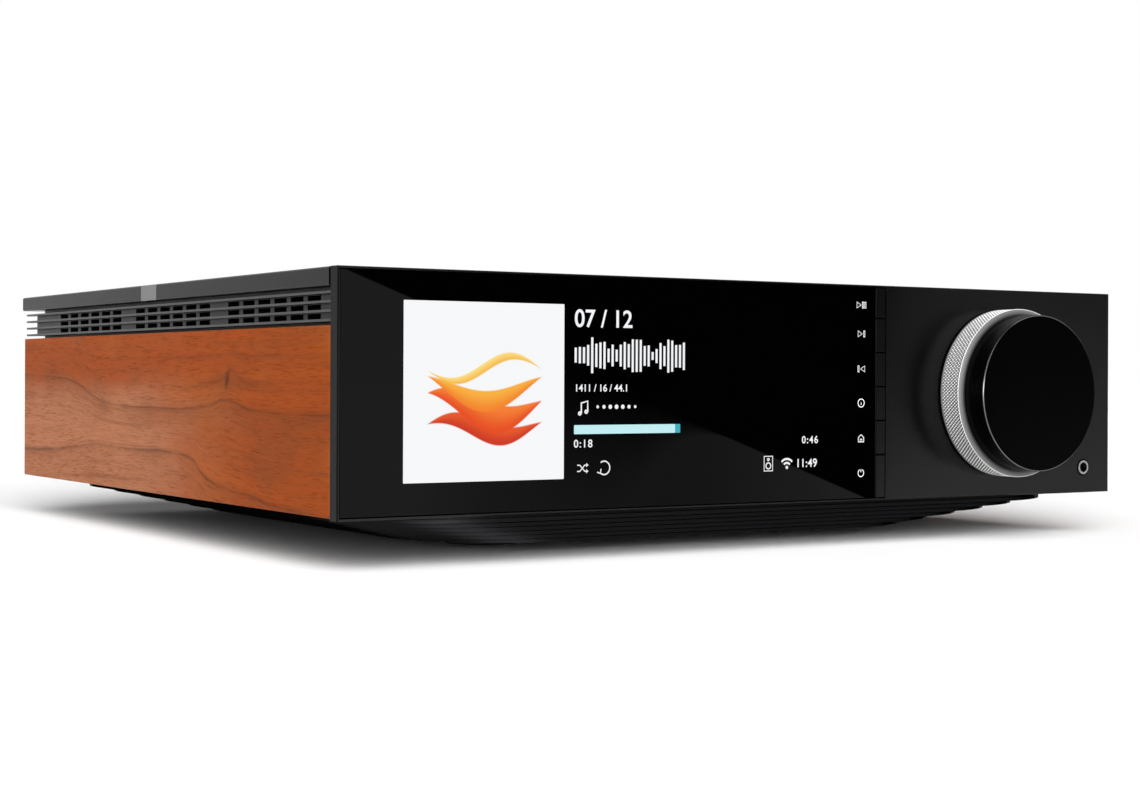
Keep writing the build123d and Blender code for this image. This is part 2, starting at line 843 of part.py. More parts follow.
# Keys: a slim head in the fascia's slot, a neck, a flange that keeps it in, and a stem that
# reaches its switch. Each one is its own piece. A head is shorter than the fascia is thick,
# so that it can travel back without meeting the chassis.
key_head_depth = fascia_depth - key_travel - slide_gap
for key_name, low_z, high_z, stem_z in zip(key_names, key_bottoms, key_tops, stem_heights):
    with BuildPart() as key:
        with BuildSketch(depth_plane(-key_proud)):
            with Locations((key_column_x, (high_z + low_z) / 2)):
                Rectangle(key_width, high_z - low_z)
        extrude(amount=-(key_head_depth + key_proud))
        chamfer(key.faces().sort_by(Axis.Y)[0].edges(), key_edge)
        block(
            depth_plane(key_head_depth), key_column_x, stem_z, key_width, key_flange_height,
            -(fascia_depth + seat_gap - key_head_depth),
        )
        block(
            depth_plane(fascia_depth + seat_gap), key_column_x, stem_z, key_flange_width,
            key_flange_height, -key_flange_thickness,
        )
        block(
            depth_plane(fascia_depth + seat_gap), key_column_x, stem_z, key_stem, key_stem,
            -(key_stem_reach - fascia_depth - seat_gap),
        )
    finish(key, key_name)

# Key guide: a moulding in the chassis's front wall, with a pocket for each key's flange
# and a hole for its stem.
with BuildPart() as key_guide:
    guide_bottom_z = key_window_bottom_z + seat_gap
    pocket_depth = key_flange_thickness + key_travel + slide_gap + seat_gap
    guide_depth = pocket_depth + guide_plate
    guide_z = (guide_top_z + guide_bottom_z) / 2
    block(
        depth_plane(fascia_depth), key_column_x, guide_z, guide_width,
        guide_top_z - guide_bottom_z, -guide_depth,
    )
    ear_bottom_z = guide_bottom_z
    ear_top_z = guide_top_z - sheet
    block(
        depth_plane(wall_depth), key_column_x, (ear_bottom_z + ear_top_z) / 2,
        guide_width + 2 * guide_ear, ear_top_z - ear_bottom_z, -guide_ear_thickness,
    )
    for stem_z in stem_heights:
        block(
            depth_plane(fascia_depth - cut_over), key_column_x, stem_z,
            key_flange_width + 2 * slide_gap, key_flange_height + 2 * slide_gap,
            -pocket_depth - cut_over, Mode.SUBTRACT,
        )
        block(
            depth_plane(fascia_depth), key_column_x, stem_z, key_stem + 2 * slide_gap,
            key_stem + 2 * slide_gap, -guide_depth - cut_over, Mode.SUBTRACT,
        )
finish(key_guide, "key_guide")

# Key switches: six small bodies on the front board, each with a round actuator.
with BuildPart() as key_switches:
    for stem_z in stem_heights:
        block(
            depth_plane(board_front_depth), key_column_x, stem_z, switch_size, switch_size,
            switch_thickness,
        )
        rod(
            depth_plane(board_front_depth - switch_thickness), key_column_x, stem_z,
            switch_actuator_radius, switch_actuator_length,
        )
finish(key_switches, "key_switches")

# Front board: upright behind the keys and the control, with a window round the encoder.
front_board_x = (front_board_left + front_board_right) / 2
front_board_width = front_board_right - front_board_left
front_standoff_spots = [
    (x, front_middle_z + up * (front_board_height / 2 - front_standoff_inset))
    for x in (front_board_right - front_standoff_inset, front_board_x - 2 * front_standoff_inset)
    for up in (-1, 1)
]
board_rear_depth = board_front_depth + board_thickness

with BuildPart() as front_board:
    block(
        depth_plane(board_front_depth), front_board_x, front_middle_z, front_board_width,
        front_board_height, -board_thickness,
    )
    block(
        depth_plane(board_front_depth - cut_over), knob_x, front_middle_z, encoder_window,
        encoder_window, -board_thickness - 2 * cut_over, Mode.SUBTRACT,
    )
    for spot_x, spot_z in front_standoff_spots:
        rod(
            depth_plane(board_front_depth - cut_over), spot_x, spot_z, screw_hole_radius,
            -board_thickness - 2 * cut_over, Mode.SUBTRACT,
        )
finish(front_board, "front_board")

# Double encoder: its bush passes through the chassis and the fascia, and carries the ring's
# sleeve, which carries the knob's shaft.
control_axis = Axis((knob_x, front_y, front_middle_z), (0, 1, 0))

with BuildPart() as dual_encoder:
    block(
        depth_plane(wall_depth), knob_x, front_middle_z, encoder_size, encoder_size,
        -encoder_length,
    )
    rod(
        depth_plane(wall_depth), knob_x, front_middle_z, bush_radius, wall_depth + bush_reach,
    )
    rod(
        depth_plane(-bush_reach - cut_over), knob_x, front_middle_z, sleeve_radius + running_gap,
        -(bush_reach + cut_over + sleeve_end_depth + slide_gap), Mode.SUBTRACT,
    )
    rod(
        depth_plane(0), knob_x, front_middle_z, shaft_radius + running_gap,
        -(shaft_end_depth + slide_gap), Mode.SUBTRACT,
    )
finish(dual_encoder, "dual_encoder")

with BuildPart() as encoder_nut:
    with BuildSketch(depth_plane(0)):
        with Locations((knob_x, front_middle_z)):
            RegularPolygon(nut_radius, 6)
            Circle(bush_radius + press_gap, mode=Mode.SUBTRACT)
    extrude(amount=nut_thickness)
finish(encoder_nut, "encoder_nut")

with BuildPart() as selector_sleeve:
    sleeve_front_depth = ring_hub_front_depth
    with BuildSketch(depth_plane(sleeve_front_depth)):
        with Locations((knob_x, front_middle_z)):
            Circle(sleeve_radius)
            Circle(shaft_radius + running_gap, mode=Mode.SUBTRACT)
    extrude(amount=-(sleeve_end_depth - sleeve_front_depth))
finish(selector_sleeve, "selector_sleeve")

# Selector ring: a knurled rim with a bevel towards the knob, on a web and a hub. The outline
# is drawn as radius and depth, and turned about the control's axis.
radial_plane = Plane(origin=(knob_x, front_y, front_middle_z), x_dir=(1, 0, 0), z_dir=(0, 0, 1))

with BuildPart() as selector_ring:
    with BuildSketch(radial_plane):
        with BuildLine():
            Polyline(
                (sleeve_radius + press_gap, ring_hub_front_depth),
                (ring_hub_radius, ring_hub_front_depth),
                (ring_hub_radius, ring_web_front_depth),
                (ring_inner_radius, ring_web_front_depth),
                (ring_inner_radius, ring_front_depth),
                (ring_front_radius, ring_front_depth),
                (ring_radius, ring_shoulder_depth),
                (ring_radius, ring_rear_depth),
                (ring_inner_radius, ring_rear_depth),
                (ring_inner_radius, ring_web_rear_depth),
                (sleeve_radius + press_gap, ring_web_rear_depth),
                close=True,
            )
        make_face()
    revolve(axis=control_axis)
finish(selector_ring, "selector_ring")

with BuildPart() as volume_knob:
    hub_front_depth = -knob_reach + knob_face_thickness
    hub_rear_depth = knob_rear_depth - knob_hub_reach
    with BuildSketch(radial_plane):
        with BuildLine():
            Polyline(
                (0, -knob_reach),
                (knob_radius - knob_edge, -knob_reach),
                (knob_radius, -knob_reach + knob_edge),
                (knob_radius, knob_rear_depth),
                (knob_radius - knob_wall, knob_rear_depth),
                (knob_radius - knob_wall, hub_front_depth),
                (knob_hub_radius, hub_front_depth),
                (knob_hub_radius, hub_rear_depth),
                (shaft_radius + press_gap, hub_rear_depth),
                (shaft_radius + press_gap, hub_front_depth),
                (0, hub_front_depth),
                close=True,
            )
        make_face()
    revolve(axis=control_axis)
finish(volume_knob, "volume_knob")

with BuildPart() as volume_shaft:
    rod(
        depth_plane(hub_front_depth), knob_x, front_middle_z, shaft_radius,
        -(shaft_end_depth - hub_front_depth),
    )
finish(volume_shaft, "volume_shaft")

# Headphone socket: a silver nose in the fascia, a neck through the chassis and a body
# behind it. The bore takes a 3.5 mm plug.
with BuildPart() as headphone_socket:
    rod(
        depth_plane(-jack_proud), jack_x, jack_z, jack_nose_radius, -(fascia_depth + jack_proud),
    )
    rod(depth_plane(fascia_depth), jack_x, jack_z, jack_neck_radius, -sheet)
    block(
        depth_plane(wall_depth), jack_x, jack_z, jack_body_width, jack_body_height,
        -jack_body_length,
    )
    rod(
        depth_plane(-jack_proud - cut_over), jack_x, jack_z, jack_bore_radius,
        -(jack_bore_length + cut_over), Mode.SUBTRACT,
    )
finish(headphone_socket, "headphone_socket")

# Board places. Each board is centred on a spot, and stands on four standoffs.
supply_x = -inner_x + supply_side_gap + supply_width / 2
supply_y = y_at(supply_depth)
amplifier_x = inner_x - amplifier_side_gap - amplifier_width / 2
amplifier_y = y_at(amplifier_depth)
main_x = inner_x - main_side_gap - main_width / 2
main_y = y_at(panel_inner_depth - main_rear_gap - main_length / 2)
inlet_x = -inner_x + inlet_side_gap
rocker_x = inlet_x + rocker_spacing
terminal_x = rocker_x + terminal_spacing


def corner_spots(x, y, width, length):
    """Screw places of a board, one near each corner."""
    across = width / 2 - board_hole_inset
    along = length / 2 - board_hole_inset
    return [(x + i * across, y + j * along) for i in (-1, 1) for j in (-1, 1)]


supply_spots = corner_spots(supply_x, supply_y, supply_width, supply_length)
amplifier_spots = corner_spots(amplifier_x, amplifier_y, amplifier_width, amplifier_length)
main_spots = corner_spots(main_x, main_y, main_width, main_length)


def flat_board(x, y, width, length, spots):
    """Level board with its screw holes."""
    block(Plane.XY.offset(board_z), x, y, width, length, board_thickness)
    for spot_x, spot_y in spots:
        rod(
            Plane.XY.offset(board_z - cut_over), spot_x, spot_y, screw_hole_radius,
            board_thickness + 2 * cut_over, Mode.SUBTRACT,
        )


def wire_block(x, y):
    """Connector on a board that wires plug into."""
    block(Plane.XY.offset(board_top_z), x, y, wire_block_width, wire_block_depth, wire_block_height)


# Ribbons lie on the floor and plug into the front edge of the main board.
ribbon_xs = [display_x + display_width / 4, front_board_left + 2 * ribbon_width]
main_front_y = main_y - main_length / 2
supply_rear_y = supply_y + supply_length / 2
amplifier_rear_y = amplifier_y + amplifier_length / 2
link_y = supply_y + supply_length / 8
supply_link_x = supply_x + supply_width / 2 - wire_block_width / 2
amplifier_link_x = amplifier_x - amplifier_width / 2 + wire_block_width / 2
speaker_block_x = amplifier_x - amplifier_width / 4
mains_block_x = inlet_x

with BuildPart() as power_supply_board:
    flat_board(supply_x, supply_y, supply_width, supply_length, supply_spots)
    wire_block(mains_block_x, supply_rear_y - wire_block_depth / 2)
    wire_block(supply_link_x, link_y)
finish(power_supply_board, "power_supply_board")

with BuildPart() as amplifier_board:
    flat_board(amplifier_x, amplifier_y, amplifier_width, amplifier_length, amplifier_spots)
    wire_block(amplifier_link_x, link_y)
    block(
        Plane.XY.offset(board_top_z), speaker_block_x, amplifier_rear_y - wire_block_depth / 2,
        2 * wire_block_width, wire_block_depth, wire_block_height,
    )
finish(amplifier_board, "amplifier_board")

with BuildPart() as main_board:
    flat_board(main_x, main_y, main_width, main_length, main_spots)
    for ribbon_x in ribbon_xs:
        block(
            Plane.XY.offset(board_top_z), ribbon_x, main_front_y + ribbon_plug_depth / 2,
            ribbon_width + 2 * ribbon_thickness, ribbon_plug_depth, ribbon_plug_height,
        )
finish(main_board, "main_board")

# Transformer: a square core round a winding. Its legs stand on the board.
with BuildPart() as supply_transformer:
    core_y = supply_y - supply_length / 4
    core_z = board_top_z + transformer_height / 2
    block(
        Plane.XY.offset(board_top_z), supply_x, core_y, transformer_width,
        transformer_length - 2 * winding_overhang, transformer_height,
    )
    with BuildSketch(Plane.XY.offset(board_top_z + winding_overhang)):
        with Locations((supply_x, core_y)):
            RectangleRounded(winding_length, transformer_length, winding_overhang)
    extrude(amount=transformer_height - 2 * winding_overhang)
finish(supply_transformer, "supply_transformer")

# Filter capacitors: four upright cans beside each other.
with BuildPart() as filter_capacitors:
    can_y = supply_y + supply_length / 4
    with BuildSketch(Plane.XY.offset(board_top_z)):
        with Locations((supply_x - wire_block_width / 2, can_y)):
            with GridLocations(2 * capacitor_radius + wire_gap, 2 * capacitor_radius + wire_gap, 2, 2):
                Circle(capacitor_radius)
    extrude(amount=capacitor_height)
    chamfer(filter_capacitors.edges().group_by(Axis.Z)[-1], capacitor_radius / 10)
finish(filter_capacitors, "filter_capacitors")

# Heat sink: a base with upright fins, on the amplifier board.
with BuildPart() as amplifier_heatsink:
    sink_y = amplifier_y
    sink_x = amplifier_x + wire_block_width / 2
    block(Plane.XY.offset(board_top_z), sink_x, sink_y, sink_width, sink_length, sink_base)
    fin_spacing = (sink_width - sink_fin) / (sink_fin_count - 1)
    with BuildSketch(Plane.XY.offset(board_top_z + sink_base)):
        with Locations((sink_x, sink_y)):
            with GridLocations(fin_spacing, sink_length, sink_fin_count, 1):
                Rectangle(sink_fin, sink_length)
    extrude(amount=sink_height - sink_base)
finish(amplifier_heatsink, "amplifier_heatsink")

# Network module: a small card under a metal can, on the main board.
with BuildPart() as network_module:
    card_x = main_x + main_width / 4
    card_y = main_y - main_length / 8
    block(Plane.XY.offset(board_top_z), card_x, card_y, module_width, module_length, board_thickness)
    block(
        Plane.XY.offset(board_top_z + board_thickness), card_x, card_y,
        module_width - 2 * module_can_inset, module_length - 2 * module_can_inset,
        module_can_height,
    )
finish(network_module, "network_module")

# Standoffs under the boards, and behind the front wall.
with BuildPart() as board_standoffs:
    for spot_x, spot_y in supply_spots + amplifier_spots + main_spots:
        rod(Plane.XY.offset(floor_z), spot_x, spot_y, standoff_radius, standoff_height)
        rod(
            Plane.XY.offset(floor_z - cut_over), spot_x, spot_y, tapped_radius,
            standoff_height + 2 * cut_over, Mode.SUBTRACT,
        )
    for spot_x, spot_z in front_standoff_spots:
        rod(
            depth_plane(wall_depth), spot_x, spot_z, standoff_radius,
            -(board_front_depth - wall_depth),
        )
        rod(
            depth_plane(board_front_depth + cut_over), spot_x, spot_z, tapped_radius,
            screw_shank_length + cut_over, Mode.SUBTRACT,
        )
finish(board_standoffs, "board_standoffs")

# Places of the sockets along the main board's rear edge, one after another from its end.
network_x = main_x + main_width / 2 - network_end_gap
usb_x = network_x - usb_spacing
video_x = usb_x - video_spacing
optical_xs = [video_x - optical_spacing, video_x - optical_spacing - optical_pair_spacing]
phono_xs = [optical_xs[-1] - phono_first_spacing - phono_spacing * i for i in range(phono_count)]
antenna_xs = [optical_xs[0] - antenna_optical_shift, usb_x + antenna_usb_shift]
network_z = board_top_z + network_height / 2
usb_z = board_top_z + usb_height / 2
video_z = board_top_z + video_height / 2
optical_z = board_top_z + optical_size / 2
phono_zs = [board_top_z + phono_row_height, board_top_z + phono_row_height + phono_row_pitch]
antenna_z = overall_height - antenna_drop
inlet_z = base_z + inlet_height
terminal_z = overall_height - terminal_drop
terminal_xs = [terminal_x + terminal_pitch * (i - (terminal_count - 1) / 2) for i in range(terminal_count)]
terminal_plate_width = terminal_pitch * terminal_count
socket_depth = rear_depth + socket_proud

# Rear panel: a flat sheet with an opening for each socket.
with BuildPart() as rear_panel:
    block(
        depth_plane(panel_inner_depth), 0, (tray_z + cover_bottom_z) / 2, 2 * side_wall_x,
        cover_bottom_z - tray_z, -sheet,
    )
    with BuildSketch(depth_plane(panel_inner_depth - cut_over)) as openings:
        with Locations((network_x, network_z)):
            Rectangle(network_width + 2 * seat_gap, network_height + 2 * seat_gap)
        with Locations((usb_x, usb_z)):
            Rectangle(usb_width + 2 * seat_gap, usb_height + 2 * seat_gap)
        with Locations((video_x, video_z)):
            Rectangle(video_width + 2 * seat_gap, video_height + 2 * seat_gap)
        for optical_x in optical_xs:
            with Locations((optical_x, optical_z)):
                Rectangle(optical_size + 2 * seat_gap, optical_size + 2 * seat_gap)
        for phono_x in phono_xs:
            for phono_z in phono_zs:
                with Locations((phono_x, phono_z)):
                    Circle(phono_shell_radius + seat_gap)
        for antenna_x in antenna_xs:
            with Locations((antenna_x, antenna_z)):
                Circle(antenna_radius + seat_gap)
        for post_x in terminal_xs:
            with Locations((post_x, terminal_z)):
                Circle(terminal_boss_radius + seat_gap)
        with Locations((inlet_x, inlet_z)):
            Rectangle(inlet_width + 2 * seat_gap, inlet_body_height + 2 * seat_gap)
        with Locations((rocker_x, inlet_z)):
            Rectangle(rocker_frame_width - 2 * rocker_wall, rocker_frame_height - 2 * rocker_wall)
        for side in (-1, 1):
            for screw_z in flange_screw_zs:
                with Locations((side * flange_screw_x, screw_z)):
                    Circle(screw_hole_radius)
        for i in (-1, 0, 1):
            with Locations((i * cover_screw_pitch, cover_bottom_z - cover_screw_drop)):
                Circle(screw_hole_radius)
    extrude(openings.sketch, amount=-sheet - 2 * cut_over, mode=Mode.SUBTRACT)
finish(rear_panel, "rear_panel")

# Network, USB and video sockets: a shell on the main board with its mouth in the rear panel.
with BuildPart() as network_socket:
    block(
        depth_plane(socket_depth), network_x, network_z, network_width, network_height,
        network_length,
    )
    block(
        depth_plane(socket_depth + cut_over), network_x, network_z, network_mouth_width,
        network_mouth_height, network_mouth_depth + cut_over, Mode.SUBTRACT,
    )
finish(network_socket, "network_socket")


def tongue_socket(x, z, outer, length, mouth, mouth_depth, tongue):
    """Flat shell with a mouth and a tongue that stands in it."""
    block(depth_plane(socket_depth), x, z, outer[0], outer[1], length)
    block(
        depth_plane(socket_depth + cut_over), x, z, mouth[0], mouth[1], mouth_depth + cut_over,
        Mode.SUBTRACT,
    )
    tongue_depth = socket_depth - socket_proud
    block(
        depth_plane(tongue_depth), x, z + mouth[1] / 4, tongue[0], tongue[1],
        mouth_depth - socket_proud,
    )


with BuildPart() as usb_socket:
    tongue_socket(
        usb_x, usb_z, (usb_width, usb_height), usb_length, (usb_mouth_width, usb_mouth_height),
        usb_mouth_depth, (usb_tongue_width, usb_tongue_thickness),
    )
finish(usb_socket, "usb_socket")

with BuildPart() as video_socket:
    tongue_socket(
        video_x, video_z, (video_width, video_height), video_length,
        (video_mouth_width, video_mouth_height), video_mouth_depth,
        (video_tongue_width, video_tongue_thickness),
    )
finish(video_socket, "video_socket")

with BuildPart() as optical_sockets:
    for optical_x in optical_xs:
        block(
            depth_plane(socket_depth), optical_x, optical_z, optical_size, optical_size,
            optical_length,
        )
        block(
            depth_plane(socket_depth + cut_over), optical_x, optical_z, optical_mouth,
            optical_mouth, optical_mouth_depth + cut_over, Mode.SUBTRACT,
        )
        rod(
            depth_plane(socket_depth - optical_mouth_depth), optical_x, optical_z,
            optical_lens_radius, -optical_lens_radius,
        )
finish(optical_sockets, "optical_sockets")

# Phono sockets: blocks on the main board, each with two round shells through the panel.
with BuildPart() as phono_sockets:
    for phono_x in phono_xs:
        block(
            depth_plane(panel_inner_depth), phono_x, board_top_z + phono_block_height / 2,
            phono_block_width, phono_block_height, phono_block_length,
        )
        for phono_z in phono_zs:
            rod(
                depth_plane(panel_inner_depth), phono_x, phono_z, phono_shell_radius,
                -(sheet + phono_shell_length),
            )
            rod(
                depth_plane(rear_depth), phono_x, phono_z, phono_collar_radius,
                -phono_collar_thickness,
            )
            rod(
                depth_plane(rear_depth + phono_shell_length + cut_over), phono_x, phono_z,
                phono_dish_radius, phono_collar_thickness + cut_over, Mode.SUBTRACT,
            )
            rod(
                depth_plane(rear_depth + phono_shell_length + cut_over), phono_x, phono_z,
                phono_bore_radius, phono_shell_length + cut_over, Mode.SUBTRACT,
            )
finish(phono_sockets, "phono_sockets")

# Antenna sockets: threaded barrels with a nut outside the panel and a nut inside.
with BuildPart() as antenna_sockets:
    for antenna_x in antenna_xs:
        rod(
            depth_plane(panel_inner_depth - antenna_tail), antenna_x, antenna_z, antenna_radius,
            -(antenna_tail + sheet + antenna_length),
        )
        for nut_depth in (rear_depth, panel_inner_depth - antenna_nut_thickness):
            with BuildSketch(depth_plane(nut_depth)) as nut_sketch:
                with Locations((antenna_x, antenna_z)):
                    RegularPolygon(antenna_nut_radius, 6)
            extrude(nut_sketch.sketch, amount=-antenna_nut_thickness)
        rod(
            depth_plane(rear_depth + antenna_length + cut_over), antenna_x, antenna_z,
            antenna_bore_radius, antenna_length / 2 + cut_over, Mode.SUBTRACT,
        )
finish(antenna_sockets, "antenna_sockets")

# Mains inlet: a flanged moulding through the panel, with three pins in its mouth and three
# tabs behind.
pin_spots = [
    (-inlet_pin_spread, -inlet_earth_rise),
    (inlet_pin_spread, -inlet_earth_rise),
    (0, inlet_earth_rise),
]

with BuildPart() as mains_inlet:
    block(
        depth_plane(rear_depth), inlet_x, inlet_z, inlet_width + 2 * inlet_flange_overlap,
        inlet_body_height + 2 * inlet_flange_overlap, -inlet_flange,
    )
    block(
        depth_plane(rear_depth), inlet_x, inlet_z, inlet_width, inlet_body_height,
        inlet_length - inlet_flange,
    )
    with BuildSketch(depth_plane(rear_depth + inlet_flange + cut_over)) as mouth_sketch:
        with Locations((inlet_x, inlet_z)):
            Rectangle(inlet_mouth_width, inlet_mouth_height)
        chamfer(mouth_sketch.vertices().group_by(Axis.Z)[-1], inlet_mouth_corner)
    extrude(mouth_sketch.sketch, amount=inlet_mouth_depth + cut_over, mode=Mode.SUBTRACT)
    for pin_x, pin_rise in pin_spots:
        block(
            depth_plane(rear_depth + inlet_flange - inlet_mouth_depth), inlet_x + pin_x,
            inlet_z + pin_rise, inlet_pin_width, inlet_pin_height, -inlet_pin_length,
        )
        block(
            depth_plane(rear_depth + inlet_flange - inlet_length), inlet_x + pin_x, inlet_z + pin_rise,
            inlet_tab_thickness, inlet_tab_width, inlet_tab_length,
        )
finish(mains_inlet, "mains_inlet")

# Rocker housing: a frame on the panel round a well, with a body behind it.
rocker_inner_width = rocker_frame_width - 4 * rocker_wall
rocker_inner_height = rocker_frame_height - 4 * rocker_wall
rocker_axis_y = y_at(rear_depth + rocker_pivot_depth - rocker_crown)

with BuildPart() as rocker_housing:
    block(
        depth_plane(rear_depth), rocker_x, inlet_z, rocker_frame_width, rocker_frame_height,
        -rocker_wall,
    )
    block(
        depth_plane(rear_depth), rocker_x, inlet_z,
        rocker_frame_width - 2 * rocker_wall - 2 * seat_gap,
        rocker_frame_height - 2 * rocker_wall - 2 * seat_gap, rocker_body_length,
    )
    block(
        depth_plane(rear_depth + rocker_wall + cut_over), rocker_x, inlet_z, rocker_inner_width,
        rocker_inner_height, rocker_well_depth + rocker_wall + cut_over, Mode.SUBTRACT,
    )
    pin_hole_length = rocker_inner_width + rocker_wall
    with BuildSketch(side_plane(rocker_x - pin_hole_length / 2)) as pin_hole:
        with Locations((rocker_axis_y, inlet_z)):
            Circle(rocker_pin_radius + running_gap)
    extrude(pin_hole.sketch, amount=pin_hole_length, mode=Mode.SUBTRACT)
finish(rocker_housing, "rocker_housing")

# Rocker: a shallow V seen from the side, tipped to one stop, on two short pins.
rocker_width = rocker_inner_width - 2 * slide_gap


def rocker_point(along, out, tilt):
    """Point of the rocker's side view, turned about its pins."""
    turn = radians(tilt)
    return (
        rocker_axis_y + out * cos(turn) - along * sin(turn),
        inlet_z + out * sin(turn) + along * cos(turn),
    )


with BuildPart() as mains_rocker:
    rocker_outline = [
        (-rocker_arm, rocker_crown + rocker_crown / 2),
        (0, rocker_crown),
        (rocker_arm, rocker_crown + rocker_crown / 2),
        (rocker_arm, rocker_crown / 2),
        (0, -rocker_crown),
        (-rocker_arm, rocker_crown / 2),
    ]
    with BuildSketch(side_plane(rocker_x - rocker_width / 2)) as rocker_side:
        with BuildLine():
            Polyline(*[rocker_point(a, o, rocker_tilt) for a, o in rocker_outline], close=True)
        make_face()
    extrude(rocker_side.sketch, amount=rocker_width)
    with BuildSketch(side_plane(rocker_x - (rocker_inner_width + rocker_wall) / 2 + seat_gap)) as pins:
        with Locations((rocker_axis_y, inlet_z)):
            Circle(rocker_pin_radius)
    extrude(pins.sketch, amount=rocker_inner_width + rocker_wall - 2 * seat_gap)
finish(mains_rocker, "mains_rocker")

# Speaker terminals: a moulded plate with four collars, a metal stud in each with a bore for
# a 4 mm plug, and a cap that screws along the stud.
plate_depth = rear_depth + terminal_plate_thickness
collar_depth = plate_depth + terminal_collar_height
stud_end_depth = rear_depth + post_reach - stud_end_gap

with BuildPart() as terminal_plate:
    block(
        depth_plane(rear_depth), terminal_x, terminal_z, terminal_plate_width,
        terminal_plate_height, -terminal_plate_thickness,
    )
    for post_x in terminal_xs:
        rod(
            depth_plane(plate_depth), post_x, terminal_z, terminal_collar_radius,
            -terminal_collar_height,
        )
        rod(depth_plane(rear_depth), post_x, terminal_z, terminal_boss_radius, sheet)
        rod(
            depth_plane(collar_depth + cut_over), post_x, terminal_z, stud_radius + press_gap,
            collar_depth - panel_inner_depth + 2 * cut_over, Mode.SUBTRACT,
        )
finish(terminal_plate, "terminal_plate")

with BuildPart() as terminal_studs:
    for post_x in terminal_xs:
        rod(
            depth_plane(panel_inner_depth - stud_inner_length), post_x, terminal_z, stud_radius,
            -(stud_end_depth - panel_inner_depth + stud_inner_length),
        )
        with BuildSketch(depth_plane(panel_inner_depth)) as nut_sketch:
            with Locations((post_x, terminal_z)):
                RegularPolygon(stud_nut_radius, 6)
        extrude(nut_sketch.sketch, amount=stud_nut_thickness)
        rod(
            depth_plane(stud_end_depth + cut_over), post_x, terminal_z, plug_bore_radius,
            plug_bore_length + cut_over, Mode.SUBTRACT,
        )
finish(terminal_studs, "terminal_studs")

cap_front_depth = collar_depth + slide_gap
cap_length = rear_depth + post_reach - cap_front_depth
for number, post_x in enumerate(terminal_xs, start=1):
    with BuildPart() as terminal_cap:
        rod(depth_plane(cap_front_depth), post_x, terminal_z, cap_radius, -cap_length)
        chamfer(terminal_cap.edges().group_by(Axis.Y)[-1], cap_edge)
        rod(
            depth_plane(cap_front_depth - cut_over), post_x, terminal_z,
            stud_radius + running_gap, -(stud_end_depth - cap_front_depth + slide_gap + cut_over),
            Mode.SUBTRACT,
        )
        rod(
            depth_plane(cap_front_depth), post_x, terminal_z, cap_mouth_radius,
            -cap_length - cut_over, Mode.SUBTRACT,
        )
        with BuildSketch(depth_plane(cap_front_depth + cap_length / 4)) as flutes:
            with Locations((post_x, terminal_z)):
                with PolarLocations(cap_radius, cap_flute_count):
                    Circle(cap_flute_radius)
        extrude(flutes.sketch, amount=-cap_length, mode=Mode.SUBTRACT)
    finish(terminal_cap, "terminal_cap_" + str(number))

# Screws: rear panel into the chassis, rear panel into the top plate's rib, bracket and
# front wall into the fascia, chassis into the plinth, and boards onto their standoffs.
with BuildPart() as case_screws:
    for side in (-1, 1):
        for screw_z in flange_screw_zs:
            pan_screw(depth_plane(rear_depth), side * flange_screw_x, screw_z, -1)
    for i in (-1, 0, 1):
        pan_screw(depth_plane(rear_depth), i * cover_screw_pitch, cover_bottom_z - cover_screw_drop, -1)
    for screw_z in fascia_screw_zs:
        for screw_x in bracket_screw_xs:
            pan_screw(depth_plane(wall_depth + bracket_thickness), screw_x, screw_z, -1)
        pan_screw(depth_plane(wall_depth), far_screw_x, screw_z, -1)
    for spot_x, spot_y in foot_spots:
        pan_screw(Plane.XY.offset(floor_z), spot_x, spot_y)
    for spot_x, spot_y in supply_spots + amplifier_spots + main_spots:
        pan_screw(Plane.XY.offset(board_top_z), spot_x, spot_y)
    for spot_x, spot_z in front_standoff_spots:
        pan_screw(depth_plane(board_rear_depth), spot_x, spot_z, -1)
finish(case_screws, "case_screws")

# Ribbons: flat cables from the display and from the front board, down to the floor, along
# it and up to the main board's front edge.
ribbon_floor_z = floor_z + ribbon_lift
ribbon_end_z = board_top_z + ribbon_plug_height / 2
ribbon_starts = [wall_depth + bracket_thickness, board_rear_depth]

with BuildPart() as display_ribbon:
    for ribbon_x, start_depth in zip(ribbon_xs, ribbon_starts):
        start_y = y_at(start_depth)
        drop_y = start_y + 2 * ribbon_bend
        rise_y = main_front_y - 2 * ribbon_bend
        with BuildSketch(side_plane(ribbon_x - ribbon_width / 2)) as ribbon_side:
            with BuildLine() as ribbon_route:
                FilletPolyline(
                    (start_y, base_z + ribbon_start_height),
                    (drop_y, base_z + ribbon_start_height),
                    (drop_y, ribbon_floor_z),
                    (rise_y, ribbon_floor_z),
                    (rise_y, ribbon_end_z),
                    (main_front_y, ribbon_end_z),
                    radius=ribbon_bend,
                )
            trace(ribbon_route.line, line_width=ribbon_thickness)
        extrude(ribbon_side.sketch, amount=ribbon_width)
finish(display_ribbon, "display_ribbon")


def lay_wire(points):
    """Round wire along a smooth curve that the points pull on."""
    with BuildLine() as route:
        Bezier(*points)
    start_direction = Vector(*points[1]) - Vector(*points[0])
    with BuildSketch(Plane(origin=points[0], z_dir=start_direction)) as section:
        Circle(wire_radius)
    sweep(section.sketch, path=route.line)


block_wire_z = board_top_z + wire_block_height / 2
inlet_tab_depth = rear_depth + inlet_flange - inlet_length - inlet_tab_length

